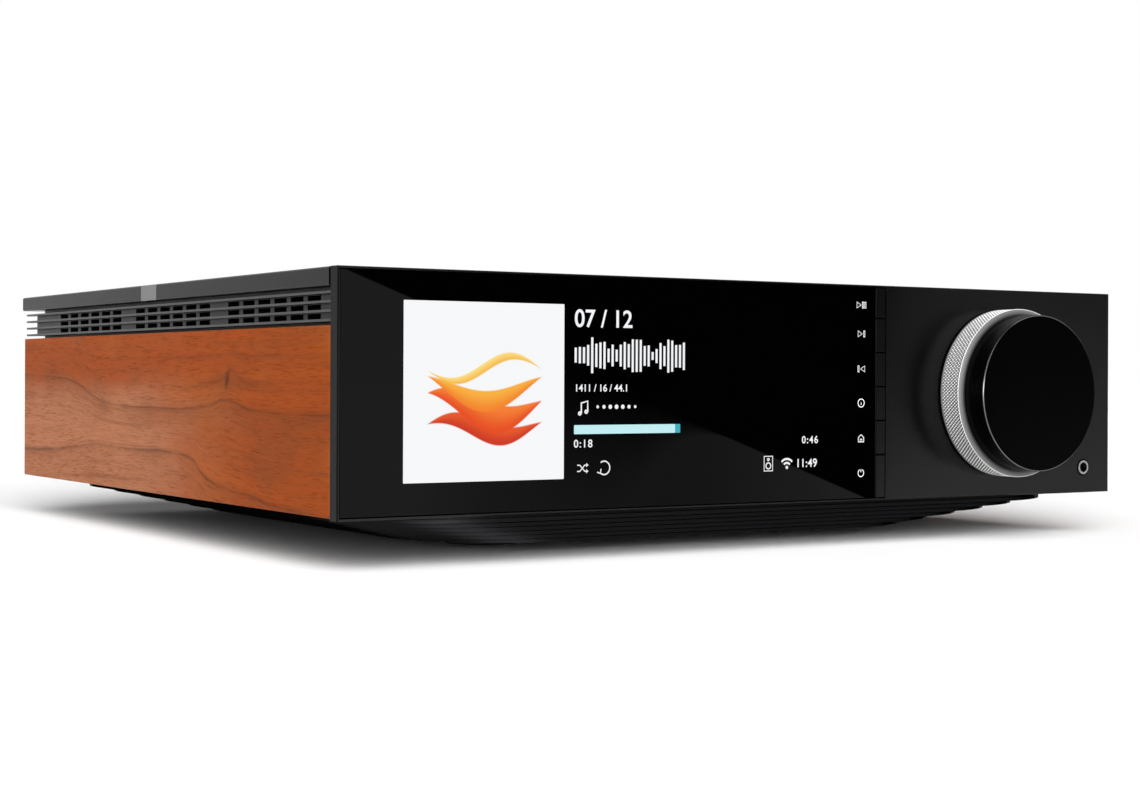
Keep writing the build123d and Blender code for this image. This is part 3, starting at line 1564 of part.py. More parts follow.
# Mains wires: from the inlet's two outer tabs to the supply board.
with BuildPart() as mains_wires:
    for side in (-1, 1):
        start_x = inlet_x + side * inlet_pin_spread
        end_x = mains_block_x + side * wire_gap
        start_z = inlet_z - inlet_earth_rise
        start_y = y_at(inlet_tab_depth)
        run = (start_y - supply_rear_y) / 3
        lay_wire([
            (start_x, start_y, start_z),
            (start_x, start_y - run, start_z),
            (end_x, supply_rear_y + run, block_wire_z),
            (end_x, supply_rear_y, block_wire_z),
        ])
finish(mains_wires, "mains_wires")

# Supply wires: from the supply board across to the amplifier board, dipping between them.
with BuildPart() as supply_wires:
    link_start_x = supply_link_x + wire_block_width / 2
    link_end_x = amplifier_link_x - wire_block_width / 2
    link_run = (link_end_x - link_start_x) / 4
    dip_z = board_z
    for side in (-1, 1):
        wire_y = link_y + side * wire_gap / 2
        lay_wire([
            (link_start_x, wire_y, block_wire_z),
            (link_start_x + link_run, wire_y, block_wire_z),
            (link_start_x + 2 * link_run, wire_y, dip_z),
            (link_end_x - link_run, wire_y, block_wire_z),
            (link_end_x, wire_y, block_wire_z),
        ])
finish(supply_wires, "supply_wires")

# Speaker wires: from each stud over the main board to the amplifier board.
with BuildPart() as speaker_wires:
    stud_inner_y = y_at(panel_inner_depth - stud_inner_length)
    wire_span = stud_inner_y - amplifier_rear_y
    for i, post_x in enumerate(terminal_xs):
        end_x = speaker_block_x + (i - (terminal_count - 1) / 2) * (wire_gap + wire_radius)
        lay_wire([
            (post_x, stud_inner_y, terminal_z),
            (post_x, stud_inner_y - wire_span / 3, terminal_z),
            (end_x, amplifier_rear_y + wire_span / 6, block_wire_z),
            (end_x, amplifier_rear_y, block_wire_z),
        ])
finish(speaker_wires, "speaker_wires")
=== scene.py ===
import json
import math

import bmesh
import bpy
from mathutils import Matrix, Vector

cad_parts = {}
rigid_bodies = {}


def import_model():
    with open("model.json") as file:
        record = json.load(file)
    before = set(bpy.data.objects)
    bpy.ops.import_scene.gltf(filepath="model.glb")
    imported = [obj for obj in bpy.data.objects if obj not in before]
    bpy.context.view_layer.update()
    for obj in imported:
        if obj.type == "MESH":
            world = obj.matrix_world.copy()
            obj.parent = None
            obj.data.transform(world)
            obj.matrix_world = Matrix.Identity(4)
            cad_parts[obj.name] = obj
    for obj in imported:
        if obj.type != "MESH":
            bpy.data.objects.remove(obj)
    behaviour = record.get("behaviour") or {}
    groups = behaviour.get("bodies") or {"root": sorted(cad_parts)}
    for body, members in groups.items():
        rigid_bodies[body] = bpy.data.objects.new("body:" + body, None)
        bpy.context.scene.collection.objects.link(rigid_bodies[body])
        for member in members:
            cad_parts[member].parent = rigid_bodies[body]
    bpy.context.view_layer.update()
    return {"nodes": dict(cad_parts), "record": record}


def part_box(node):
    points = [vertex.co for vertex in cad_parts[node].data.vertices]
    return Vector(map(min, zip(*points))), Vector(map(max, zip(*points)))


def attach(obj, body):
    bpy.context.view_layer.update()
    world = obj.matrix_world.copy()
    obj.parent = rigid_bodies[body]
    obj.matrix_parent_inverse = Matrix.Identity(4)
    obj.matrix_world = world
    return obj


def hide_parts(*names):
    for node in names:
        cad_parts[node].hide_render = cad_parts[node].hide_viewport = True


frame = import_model()

# Looks of the music streamer: its materials, knurled ring and lit display, and the studio.
# Places and lengths are in metres. Those in millimetres are multiplied by MM where they are used.
MM = 0.001
NODES = frame["nodes"]
scene = bpy.context.scene


# Sizes of the case, read from the frame.
fascia_low, fascia_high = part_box("fascia")
ring_low, ring_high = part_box("selector_ring")
knob_low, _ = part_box("volume_knob")
_, cover_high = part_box("top_cover")
key_low, key_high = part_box("play_pause_key")

FRONT_Y = fascia_low.y
LEFT_X = fascia_low.x
BOTTOM_Z = fascia_low.z
CONTROL_X = (ring_low.x + ring_high.x) / 2
CONTROL_Z = (ring_low.z + ring_high.z) / 2
KEY_FACE_HALF = 2.2
KEY_LEFT_X = (key_low.x + key_high.x) / 2 - KEY_FACE_HALF * MM


def on_front(across, up, proud=0.0):
    """Place on the front, in millimetres from the fascia's lower left corner."""
    return Vector((LEFT_X + across * MM, FRONT_Y - proud * MM, BOTTOM_Z + up * MM))


# Selector ring in millimetres: radii, depths from the front with minus ahead of it, and the
# edges' bevels. The knurls stop a little short of both ends of the rim.
RING = {
    "outer": 29.7, "front": 28.0, "inner": 26.2, "rear_depth": -0.4, "shoulder_depth": -9.2,
    "front_depth": -10.0, "web_front": -9.0, "web_rear": -6.6, "hub": 7.0, "hub_front": -9.6,
    "bore": 3.02, "inner_bevel": 0.15, "front_bevel": 0.1, "shoulder_bevel": 0.25,
    "rear_bevel": 0.35, "plain_front": 0.05, "plain_rear": 0.4,
}
KNURL_ROWS = 26
KNURLS_ROUND = 156
KNURLS_ACROSS = 5.5
KNURL_HEIGHT = 0.38
STEPS_PER_KNURL = 4
GRID_GAP = 0.002 * MM
DOUBLE_GAP = 0.001 * MM


# Nodes, shader groups and materials
FLOAT = "NodeSocketFloat"
INT = "NodeSocketInt"
BLACK = (0.0, 0.0, 0.0, 1.0)


class Nodes:
    """Short way to add and join nodes in one tree."""

    def __init__(self, tree):
        self.tree = tree

    def node(self, kind, **settings):
        made = self.tree.nodes.new(kind)
        for key, value in settings.items():
            setattr(made, key, value)
        return made

    def join(self, output, target):
        self.tree.links.new(output, target)

    def feed(self, target, value):
        """Join an output, or set a constant."""
        if hasattr(value, "links"):
            self.join(value, target)
        else:
            target.default_value = value

    def fed(self, kind, values, **settings):
        """A new node whose inputs take the values, by name or from the first one on."""
        made = self.node(kind, **settings)
        for key, value in values.items() if isinstance(values, dict) else enumerate(values):
            self.feed(made.inputs[key], value)
        return made

    def maths(self, operation, *values):
        return self.fed("ShaderNodeMath", values, operation=operation).outputs[0]

    def plus(self, first, second):
        return self.maths("ADD", first, second)

    def minus(self, first, second):
        return self.maths("SUBTRACT", first, second)

    def times(self, first, second):
        return self.maths("MULTIPLY", first, second)

    def over(self, first, second):
        return self.maths("DIVIDE", first, second)

    def size(self, value):
        return self.maths("ABSOLUTE", value)

    def highest(self, first, second):
        return self.maths("MAXIMUM", first, second)

    def lowest(self, first, second):
        return self.maths("MINIMUM", first, second)

    def held(self, value):
        """The value, kept between 0 and 1."""
        return self.lowest(self.highest(value, 0.0), 1.0)

    def line(self, start, rise, value):
        """start + rise * value"""
        return self.plus(start, self.times(value, rise))

    def rest(self, value, share=1.0):
        """1 - share * value"""
        return self.minus(1.0, self.times(value, share))

    def split(self, vector):
        return self.fed("ShaderNodeSeparateXYZ", [vector]).outputs[0:3]

    def joined(self, x, y, z):
        return self.fed("ShaderNodeCombineXYZ", [x, y, z]).outputs[0]


class Shading(Nodes):
    """Nodes of one material, world or shader group."""

    def __init__(self, tree):
        super().__init__(tree)
        tree.nodes.clear()

    def vector(self, operation, first, second):
        return self.fed("ShaderNodeVectorMath", [first, second], operation=operation).outputs[0]

    def toned(self, colour, tone):
        """A fixed colour times a tone."""
        values = {0: colour, "Scale": tone}
        return self.fed("ShaderNodeVectorMath", values, operation="SCALE").outputs[0]

    def noise(self, vector, scale=1.0, detail=3.0, roughness=0.5):
        values = {"Vector": vector, "Scale": scale, "Detail": detail, "Roughness": roughness}
        return self.fed("ShaderNodeTexNoise", values).outputs[0]

    def stretched_noise(self, place, stretch, *settings):
        """Noise at scale 1 on a place stretched along x, y and z."""
        return self.noise(self.vector("MULTIPLY", place, stretch), 1.0, *settings)

    def blend(self, share, first, second):
        values = {0: share, 6: first, 7: second}
        return self.fed("ShaderNodeMix", values, data_type="RGBA").outputs[2]

    def ramp(self, value, low, high):
        """0 at low, 1 at high, smooth between and flat beyond."""
        kind = "ShaderNodeMapRange"
        return self.fed(kind, [value, low, high], interpolation_type="SMOOTHSTEP").outputs[0]

    def ramp_from(self, value, start, span):
        """Ramp between two places, given in millimetres from a start."""
        return self.ramp(value, start + span[0] * MM, start + span[1] * MM)

    def object_place(self):
        return self.node("ShaderNodeTexCoord").outputs["Object"]

    def object_xyz(self):
        return self.split(self.object_place())

    def bump(self, height, strength, distance):
        values = {"Strength": strength, "Distance": distance, "Height": height}
        return self.fed("ShaderNodeBump", values).outputs[0]

    def surface(self, output, end="ShaderNodeOutputMaterial"):
        self.join(output, self.node(end).inputs["Surface"])

    def principled(self, values):
        self.surface(self.fed("ShaderNodeBsdfPrincipled", values).outputs[0])


def new_group(name, inputs, outputs):
    """Shader group with named inputs and outputs, and its two end nodes."""
    tree = bpy.data.node_groups.new(name, "ShaderNodeTree")
    for label, kind, value in inputs:
        socket = tree.interface.new_socket(label, in_out="INPUT", socket_type=kind)
        socket.default_value = value
    for label, kind in outputs:
        tree.interface.new_socket(label, in_out="OUTPUT", socket_type=kind)
    s = Shading(tree)
    return tree, s, s.node("NodeGroupInput").outputs, s.node("NodeGroupOutput").inputs


# Noise in a finish: detail and roughness of the fine one, scale and detail of the broad one.
FINE_NOISE = (4.0, 0.6)
BROAD_NOISE = (14.0, 2.0)


def surface_grain_group():
    """Fine grain of a finish: a tone, a shift of roughness and a height, from stretched noise."""
    tree, s, given, out = new_group(
        "surface_grain",
        [
            ("Stretch", "NodeSocketVector", (1.0, 1.0, 1.0)), ("Grains per metre", FLOAT, 1500.0),
            ("Tone spread", FLOAT, 0.1), ("Patches", FLOAT, 0.1),
        ],
        [("Tone", FLOAT), ("Patch", FLOAT), ("Height", FLOAT)],
    )
    place = s.vector("MULTIPLY", s.object_place(), given["Stretch"])
    fine = s.noise(place, given["Grains per metre"], *FINE_NOISE)
    broad = s.noise(s.object_place(), *BROAD_NOISE)
    s.join(s.line(1.0, given["Tone spread"], s.minus(fine, 0.5)), out["Tone"])
    s.join(s.times(s.minus(broad, 0.5), given["Patches"]), out["Patch"])
    s.join(fine, out["Height"])
    return tree


# Walnut. Its colours, then three long grain lines as places along the case and heights, both as
# shares of the case's length and height.
ORANGE_WOOD = (0.256, 0.047, 0.004, 1.0)
# Tan: the wood's paler tone, also used as a painted sheen towards the rear and the bottom.
TAN_WOOD_AND_SHEEN = (0.345, 0.133, 0.065, 1.0)
LIGHT_WOOD = (0.345, 0.115, 0.034, 1.0)
GOLD_WOOD = (0.315, 0.082, 0.012, 1.0)
BROWN_WOOD = (0.130, 0.038, 0.011, 1.0)
DARK_WOOD = (0.034, 0.012, 0.0065, 1.0)

UPPER_LINE_SHARES = [
    (0.0, 0.413), (0.14, 0.415), (0.20, 0.42), (0.228, 0.435), (0.255, 0.456), (0.28, 0.46),
    (0.30, 0.45), (0.325, 0.43), (0.36, 0.42), (0.50, 0.415), (0.62, 0.417), (0.67, 0.43),
    (0.71, 0.465), (0.75, 0.51), (0.80, 0.545), (0.88, 0.56), (1.0, 0.568),
]
LOWER_LINE_SHARES = [
    (0.0, 0.01), (0.12, 0.02), (0.17, 0.037), (0.215, 0.062), (0.27, 0.078), (0.32, 0.10),
    (0.345, 0.13), (0.365, 0.18), (0.40, 0.203), (0.60, 0.206), (0.69, 0.212), (0.78, 0.19),
    (0.88, 0.168), (1.0, 0.162),
]
KNOT_LINE_SHARES = [
    (0.0, 0.53), (0.16, 0.532), (0.215, 0.538), (0.24, 0.56), (0.262, 0.592), (0.276, 0.562),
    (0.30, 0.545), (0.34, 0.53), (0.40, 0.51), (1.0, 0.50),
]

# Heights where the grain would lie level, as shares, and over what share of the height its bend
# fades out above the upper line and below the lower one.
UPPER_LEVEL = 0.44
LOWER_LEVEL = 0.10
THIRD_LEVEL = 0.66
FADE_ABOVE = 0.33
FADE_BELOW = 0.40
MIDDLE_SPAN = (-0.01, 0.01)
WAVER_STRETCH = (4.0, 12.0, 26.0)
WAVER = 0.04

# Level lines: height, width, and the scale and shift of the noise that breaks them.
UPPER_LINE = (UPPER_LEVEL, 0.0065, 22.0, 1.3)
LOWER_LINE = (LOWER_LEVEL, 0.006, 26.0, 5.7)
THIRD_LINE = (THIRD_LEVEL, 0.008, 18.0, 9.1)
LINE_SIDE = 0.004
SHADE_FALL = 9.0
LINE_BREAK = (0.30, 0.62)
SHADE_BREAK = (-0.4, 1.0)
THIRD_SHARE = 0.5
LOWER_SHADE_SHARE = 0.8
KNOT_LINE_WIDTH = 0.007
KNOT_LINE_SHARE = 0.6
KNOT_LINE_START = (0.12, 0.22)
KNOT_LINE_END = (0.42, 0.31)

# Growth bands: their number over the height, how far the waver shifts them, and their sharpness.
BAND_COUNT = 11.0
BAND_WAVER = 1.6
BAND_POWER = 3.0

# Noises on the bent grain: stretch, then detail and roughness.
FIBRE = ((300.0, 70.0, 1900.0), 4.0, 0.65)
PORE = ((900.0, 150.0, 3000.0), 1.0)
DASH = ((500.0, 75.0, 2100.0), 2.0)
CLUSTER = ((20.0, 26.0, 60.0), 2.0)
PATCH = ((9.0, 15.0, 40.0), 3.0)
STREAK = ((30.0, 8.0, 420.0), 5.0, 0.68)
CLOUD_STRETCH = (9.0, 24.0, 34.0)
CLOUD_SHIFT = (7.0, 0.0, 3.0)
PATCH_MIDDLE = 0.56
PORE_EDGE = (0.56, 0.70)
DASH_EDGE = (0.56, 0.74)
CLUSTER_EDGE = (0.38, 0.62)
DASH_LEAST = 0.25

# Painted sheen: the wood is paler towards the rear and the bottom. Depths from the front in metres,
# and shares of the height.
SHEEN_DEPTH = (0.035, 0.18)
SHEEN_UP = (0.66, 0.40)

# Knot: its slant, and the half sizes along the case and upwards of its heart and its halo.
KNOT_SLANT = 0.35
KNOT_HALVES = (0.0014, 0.0028)
HALO_HALVES = (0.013, 0.0035)
HALO_DROP = 0.001

# Gloss and relief of the wood: what pores add to its roughness, and how far fibres stand up.
WOOD_ROUGHNESS = 0.42
PORE_ROUGHNESS = 0.2
FIBRE_RISE = 0.4
WOOD_BUMP = (0.25, 0.05 * MM)
WOOD_SPECULAR = 0.02


def guide_curve(s, along, shares):
    """Value of a curve through given places, at a place between 0 and 1."""
    made = s.node("ShaderNodeFloatCurve")
    points = made.mapping.curves[0].points
    points[0].location = shares[0]
    points[1].location = shares[-1]
    for place in shares[1:-1]:
        points.new(*place)
    made.mapping.update()
    s.join(along, made.inputs["Value"])
    return made.outputs[0]


def spot(s, across, up, halves):
    """Soft oval: 1 in its middle, falling off over its half sizes."""
    squares = [s.maths("POWER", s.over(*pair), 2.0) for pair in zip((across, up), halves)]
    return s.maths("EXPONENT", s.times(s.plus(*squares), -1.0))


def walnut_group():
    """Oiled walnut: grain that follows two long lines, with pores, patches and one small knot."""
    tree, s, given, out = new_group(
        "walnut_grain",
        [
            ("Length", FLOAT, 0.3), ("Height", FLOAT, 0.0736), ("Front", FLOAT, -0.15),
            ("Bottom", FLOAT, 0.015), ("Knot along", FLOAT, 0.081), ("Knot up", FLOAT, 0.0405),
        ],
        [("Color", "NodeSocketColor"), ("Roughness", FLOAT), ("Height", FLOAT)],
    )

    # The right panel is the left one turned end for end, and has no knot.
    place = s.object_place()
    across, y, z = s.split(place)
    on_right = s.ramp(across, *MIDDLE_SPAN)
    on_left = s.minus(1.0, on_right)
    depth = s.minus(y, given["Front"])
    turned = s.minus(given["Length"], depth)
    depth = s.plus(depth, s.times(on_right, s.minus(turned, depth)))
    up = s.minus(z, given["Bottom"])
    along_share = s.over(depth, given["Length"])
    up_share = s.over(up, given["Height"])

    # Bend the grain to the two long lines.
    waver = s.stretched_noise(place, WAVER_STRETCH, 2.0)
    up_share = s.line(up_share, WAVER, s.minus(waver, 0.5))
    upper = guide_curve(s, along_share, UPPER_LINE_SHARES)
    lower = guide_curve(s, along_share, LOWER_LINE_SHARES)
    part_up = s.held(s.over(s.minus(up_share, lower), s.minus(upper, lower)))
    upper_bend = s.times(s.minus(upper, UPPER_LEVEL), part_up)
    lower_bend = s.times(s.minus(lower, LOWER_LEVEL), s.minus(1.0, part_up))
    above = s.highest(s.minus(up_share, upper), 0.0)
    below = s.highest(s.minus(lower, up_share), 0.0)
    bend = s.plus(upper_bend, lower_bend)
    for away, fade in ((above, FADE_ABOVE), (below, FADE_BELOW)):
        bend = s.times(bend, s.highest(s.minus(1.0, s.over(away, fade)), 0.0))
    level = s.minus(up_share, bend)
    grain_place = s.joined(across, depth, s.times(level, given["Height"]))

    def level_line(height, width, break_scale, shift):
        """A dark line that comes and goes, and the shade below it."""
        away = s.minus(level, height)
        near = s.maths("EXPONENT", s.times(s.size(away), -1.0 / width))
        shade = s.maths("EXPONENT", s.times(s.lowest(away, 0.0), SHADE_FALL))
        shade = s.times(shade, s.ramp(away, LINE_SIDE, -LINE_SIDE))
        broken = s.vector("MULTIPLY", place, (break_scale, break_scale, 0.0))
        broken = s.ramp(s.noise(s.vector("ADD", broken, (shift, 0, 0))), *LINE_BREAK)
        return s.times(near, broken), s.times(shade, s.ramp(broken, *SHADE_BREAK))

    upper_line, upper_shade = level_line(*UPPER_LINE)
    lower_line, lower_shade = level_line(*LOWER_LINE)
    third_line = level_line(*THIRD_LINE)[0]
    knot_away = s.size(s.minus(up_share, guide_curve(s, along_share, KNOT_LINE_SHARES)))
    knot_line = s.maths("EXPONENT", s.times(knot_away, -1.0 / KNOT_LINE_WIDTH))
    for span in (KNOT_LINE_START, KNOT_LINE_END):
        knot_line = s.times(knot_line, s.ramp(along_share, *span))
    knot_line = s.times(knot_line, on_left)
    line = s.highest(lower_line, s.times(third_line, THIRD_SHARE))
    line = s.highest(s.highest(upper_line, line), s.times(knot_line, KNOT_LINE_SHARE))
    shade = s.highest(upper_shade, s.times(lower_shade, LOWER_SHADE_SHARE))
    bands = s.plus(s.times(level, BAND_COUNT), s.times(waver, BAND_WAVER))
    bands = s.maths("POWER", s.maths("FRACT", bands), BAND_POWER)

    fibre, pore, dash, cluster, patch, streak = [
        s.stretched_noise(grain_place, *noise)
        for noise in (FIBRE, PORE, DASH, CLUSTER, PATCH, STREAK)
    ]
    cloud = s.vector("ADD", s.vector("MULTIPLY", grain_place, CLOUD_STRETCH), CLOUD_SHIFT)
    cloud = s.noise(cloud)
    pore = s.ramp(pore, *PORE_EDGE)
    clustered = s.plus(DASH_LEAST, s.ramp(cluster, *CLUSTER_EDGE))
    dash = s.times(s.ramp(dash, *DASH_EDGE), clustered)
    # Painted sheen: paler towards the rear and the bottom. The patches are the wood's own paler
    # tone.
    paler_and_sheen = s.times(s.ramp(depth, *SHEEN_DEPTH), s.ramp(up_share, *SHEEN_UP))
    paler_and_sheen = s.plus(paler_and_sheen, s.minus(patch, PATCH_MIDDLE))

    from_knot_y = s.minus(depth, given["Knot along"])
    from_knot_z = s.minus(up, given["Knot up"])
    slanted = s.line(from_knot_y, KNOT_SLANT, from_knot_z)
    knot = spot(s, slanted, from_knot_z, KNOT_HALVES)
    halo = spot(s, from_knot_y, s.plus(from_knot_z, HALO_DROP), HALO_HALVES)

    # Each layer: where it lies, how much of it there is at most, and its colour.
    layers = [
        (s.ramp(cloud, 0.52, 0.76), 0.5, GOLD_WOOD), (s.ramp(cloud, 0.46, 0.26), 0.34, BROWN_WOOD),
        (shade, 0.45, BROWN_WOOD), (bands, 0.10, BROWN_WOOD),
        (s.ramp(streak, 0.50, 0.74), 0.50, BROWN_WOOD),
        (s.ramp(streak, 0.48, 0.22), 0.22, LIGHT_WOOD), (line, 0.66, DARK_WOOD),
        (s.ramp(fibre, 0.40, 0.8), 0.40, BROWN_WOOD), (dash, 0.26, DARK_WOOD),
        (pore, 0.26, DARK_WOOD), (s.times(halo, on_left), 0.35, BROWN_WOOD),
        (s.times(knot, on_left), 0.85, DARK_WOOD),
    ]
    colour = s.blend(s.ramp(paler_and_sheen, 0.0, 1.0), ORANGE_WOOD, TAN_WOOD_AND_SHEEN)
    for where, most, layer_colour in layers:
        colour = s.blend(s.times(where, most), colour, layer_colour)

    s.join(colour, out["Color"])
    s.join(s.line(WOOD_ROUGHNESS, PORE_ROUGHNESS, pore), out["Roughness"])
    s.join(s.minus(s.times(fibre, FIBRE_RISE), pore), out["Height"])
    return tree


SURFACE_GRAIN = surface_grain_group()
WALNUT_GRAIN = walnut_group()


def new_material(name):
    made = bpy.data.materials.new(name)
    made.use_nodes = True
    return made, Shading(made.node_tree)


def finish_material(
    name, colour, roughness, metallic=0.0, stretch=(1.0, 1.0, 1.0), grains=1500.0, tone=0.1,
    patches=0.06, relief=0.1, relief_depth=0.00002, ior=1.45, coat=0.0, edge=1.0, painted_light=None,
):
    """Metal, plastic or paint with grain in its colour, gloss and relief."""
    made, s = new_material(name)
    values = {
        "Stretch": stretch, "Grains per metre": grains, "Tone spread": tone, "Patches": patches,
    }
    grain = s.fed("ShaderNodeGroup", values, node_tree=SURFACE_GRAIN).outputs
    tone_with_painted_light = grain["Tone"]
    # Some finishes carry painted light and shade, which scales their grain tone.
    if painted_light is not None:
        tone_with_painted_light = s.times(tone_with_painted_light, painted_light(s))
    s.principled({
        "Base Color": s.toned(colour, tone_with_painted_light),
        "Roughness": s.plus(roughness, grain["Patch"]),
        "Normal": s.bump(grain["Height"], relief, relief_depth),
        "Metallic": metallic, "IOR": ior, "Coat Weight": coat,
        "Specular Tint": (edge, edge, edge, 1.0),
    })
    return made


def walnut_material():
    made, s = new_material("walnut")
    values = {
        "Length": cover_high.y - FRONT_Y, "Height": fascia_high.z - BOTTOM_Z, "Front": FRONT_Y,
        "Bottom": BOTTOM_Z,
    }
    grain = s.fed("ShaderNodeGroup", values, node_tree=WALNUT_GRAIN).outputs
    s.principled({
        "Base Color": grain["Color"], "Roughness": grain["Roughness"],
        "Normal": s.bump(grain["Height"], *WOOD_BUMP), "Specular IOR Level": WOOD_SPECULAR,
    })
    return made


BOARD_CELLS = 260.0
TRACK_EDGE = (0.30, 0.42)
PAD_EDGE = (0.14, 0.08)
MASK_GREEN = (0.012, 0.095, 0.045, 1.0)
TRACK_GREEN = (0.006, 0.055, 0.026, 1.0)
PAD_TIN = (0.45, 0.42, 0.33, 1.0)
MASK_ROUGHNESS = 0.3
PAD_ROUGHNESS = 0.15
TRACK_BUMP = (0.2, 0.03 * MM)


def board_material():
    """Green circuit board with faint tracks and pale pads."""
    made, s = new_material("circuit_green")
    values = {"Vector": s.object_place(), "Scale": BOARD_CELLS}
    cells = s.fed("ShaderNodeTexVoronoi", values, distance="CHEBYCHEV").outputs["Distance"]
    track, pad = s.ramp(cells, *TRACK_EDGE), s.ramp(cells, *PAD_EDGE)
    s.principled({
        "Base Color": s.blend(pad, s.blend(track, MASK_GREEN, TRACK_GREEN), PAD_TIN),
        "Roughness": s.line(MASK_ROUGHNESS, PAD_ROUGHNESS, pad),
        "Normal": s.bump(track, *TRACK_BUMP),
    })
    return made


def lit_surface(s, colour, strength=1.0):
    """Surface that only gives light."""
    s.principled({
        "Emission Color": colour, "Emission Strength": strength, "Base Color": BLACK,
        "Specular IOR Level": 0.0,
    })


GLOW_LEAST = 0.985
GLOW_SPREAD = 0.03
GLOW_NOISE = (40.0, 1.0)


def glow_material(name, colour, strength=1.0):
    """Lit part of the display, with a very faint unevenness."""
    made, s = new_material(name)
    tone = s.line(GLOW_LEAST, GLOW_SPREAD, s.noise(s.object_place(), *GLOW_NOISE))
    lit_surface(s, s.toned(colour, tone), strength)
    return made


# Painted light and shade: how a finish's tone changes over a piece, standing in for the light and
# shade on it. Spans are in millimetres from the place that carries them, and drops (painted shade)
# and gains (painted highlights) are shares of the finish's own tone.
SIDE_SPAN = (-0.6, -0.3)
PLATE_SPAN = (4.8, 4.5)
SIDE_PAINTED_SHADE = 0.75
FIN_SPAN = (-1.6, -0.6)
FIN_PAINTED_HIGHLIGHT = 1.6
KNOB_FACE_SPAN = (0.12, 0.04)
KNOB_BEVEL_SPAN = (0.32, 0.26)
KNOB_FACE_PAINTED_SHADE = 0.78
KNOB_BEVEL_PAINTED_HIGHLIGHT = 11.0
KEY_END_SPAN = (0.6, 0.3)
KEY_END_PAINTED_SHADE = 0.85
RAISED_SPAN = (-0.79 * KNURL_HEIGHT, -0.39 * KNURL_HEIGHT)
GROOVE_PAINTED_SHADE = 0.01
RING_BEVEL_SPAN = (RING["shoulder_depth"] + 0.05, RING["shoulder_depth"] - 0.15)
RING_REAR_SPAN = (RING["rear_depth"] - 0.80, RING["rear_depth"] - 0.55)
RING_REAR_PAINTED_SHADE = 0.93
BEVEL_RADII = (27.4, 29.5)
RING_BEVEL_PAINTED_SHADE = 0.02
RING_BEVEL_SHADE_RISE = 0.12


def fascia_side_painted_shade(s):
    """Painted shade: the front plate's side edges are darker than its face."""
    across, along, _ = s.object_xyz()
    side = s.ramp_from(s.size(across), -LEFT_X, SIDE_SPAN)
    in_plate = s.ramp_from(along, FRONT_Y, PLATE_SPAN)
    return s.rest(s.times(side, in_plate), SIDE_PAINTED_SHADE)


def fin_edge_painted_highlight(s):
    """Painted highlight: the fins' long outer edges are brighter than the wall behind them."""
    outer = s.ramp_from(s.size(s.object_xyz()[0]), -LEFT_X, FIN_SPAN)
    return s.line(1.0, FIN_PAINTED_HIGHLIGHT, outer)


def knob_painted_light(s):
    """The knob's flat face has painted shade, blacker than its turned side, and its narrow bevel a
    painted highlight.
    """
    along = s.object_xyz()[1]
    face = s.ramp_from(along, knob_low.y, KNOB_FACE_SPAN)
    bevel = s.minus(s.ramp_from(along, knob_low.y, KNOB_BEVEL_SPAN), face)
    return s.line(s.rest(face, KNOB_FACE_PAINTED_SHADE), KNOB_BEVEL_PAINTED_HIGHLIGHT, bevel)


def ring_painted_light(s):
    """Painted light: bright on the raised diamonds, and painted shade between them, on the bevel
    and at the rear edge.
    """
    across, along, up = s.object_xyz()
    x, z = s.minus(across, CONTROL_X), s.minus(up, CONTROL_Z)
    radius = s.maths("SQRT", s.plus(s.times(x, x), s.times(z, z)))
    raised = s.ramp_from(radius, RING["outer"] * MM, RAISED_SPAN)
    tone = s.line(GROOVE_PAINTED_SHADE, 1.0 - GROOVE_PAINTED_SHADE, raised)
    tone = s.times(tone, s.rest(s.ramp_from(along, FRONT_Y, RING_REAR_SPAN), RING_REAR_PAINTED_SHADE))
    bevel = s.ramp_from(along, FRONT_Y, RING_BEVEL_SPAN)
    bevel_shade = s.line(RING_BEVEL_PAINTED_SHADE, RING_BEVEL_SHADE_RISE, s.ramp_from(radius, 0.0, BEVEL_RADII))
    return s.plus(s.times(tone, s.rest(bevel)), s.times(bevel, bevel_shade))


def key_end_painted_shade(s):
    """Painted shade: the keys' left ends, beside the glass, are darker than their faces."""
    return s.rest(s.ramp_from(s.object_xyz()[0], KEY_LEFT_X, KEY_END_SPAN), KEY_END_PAINTED_SHADE)


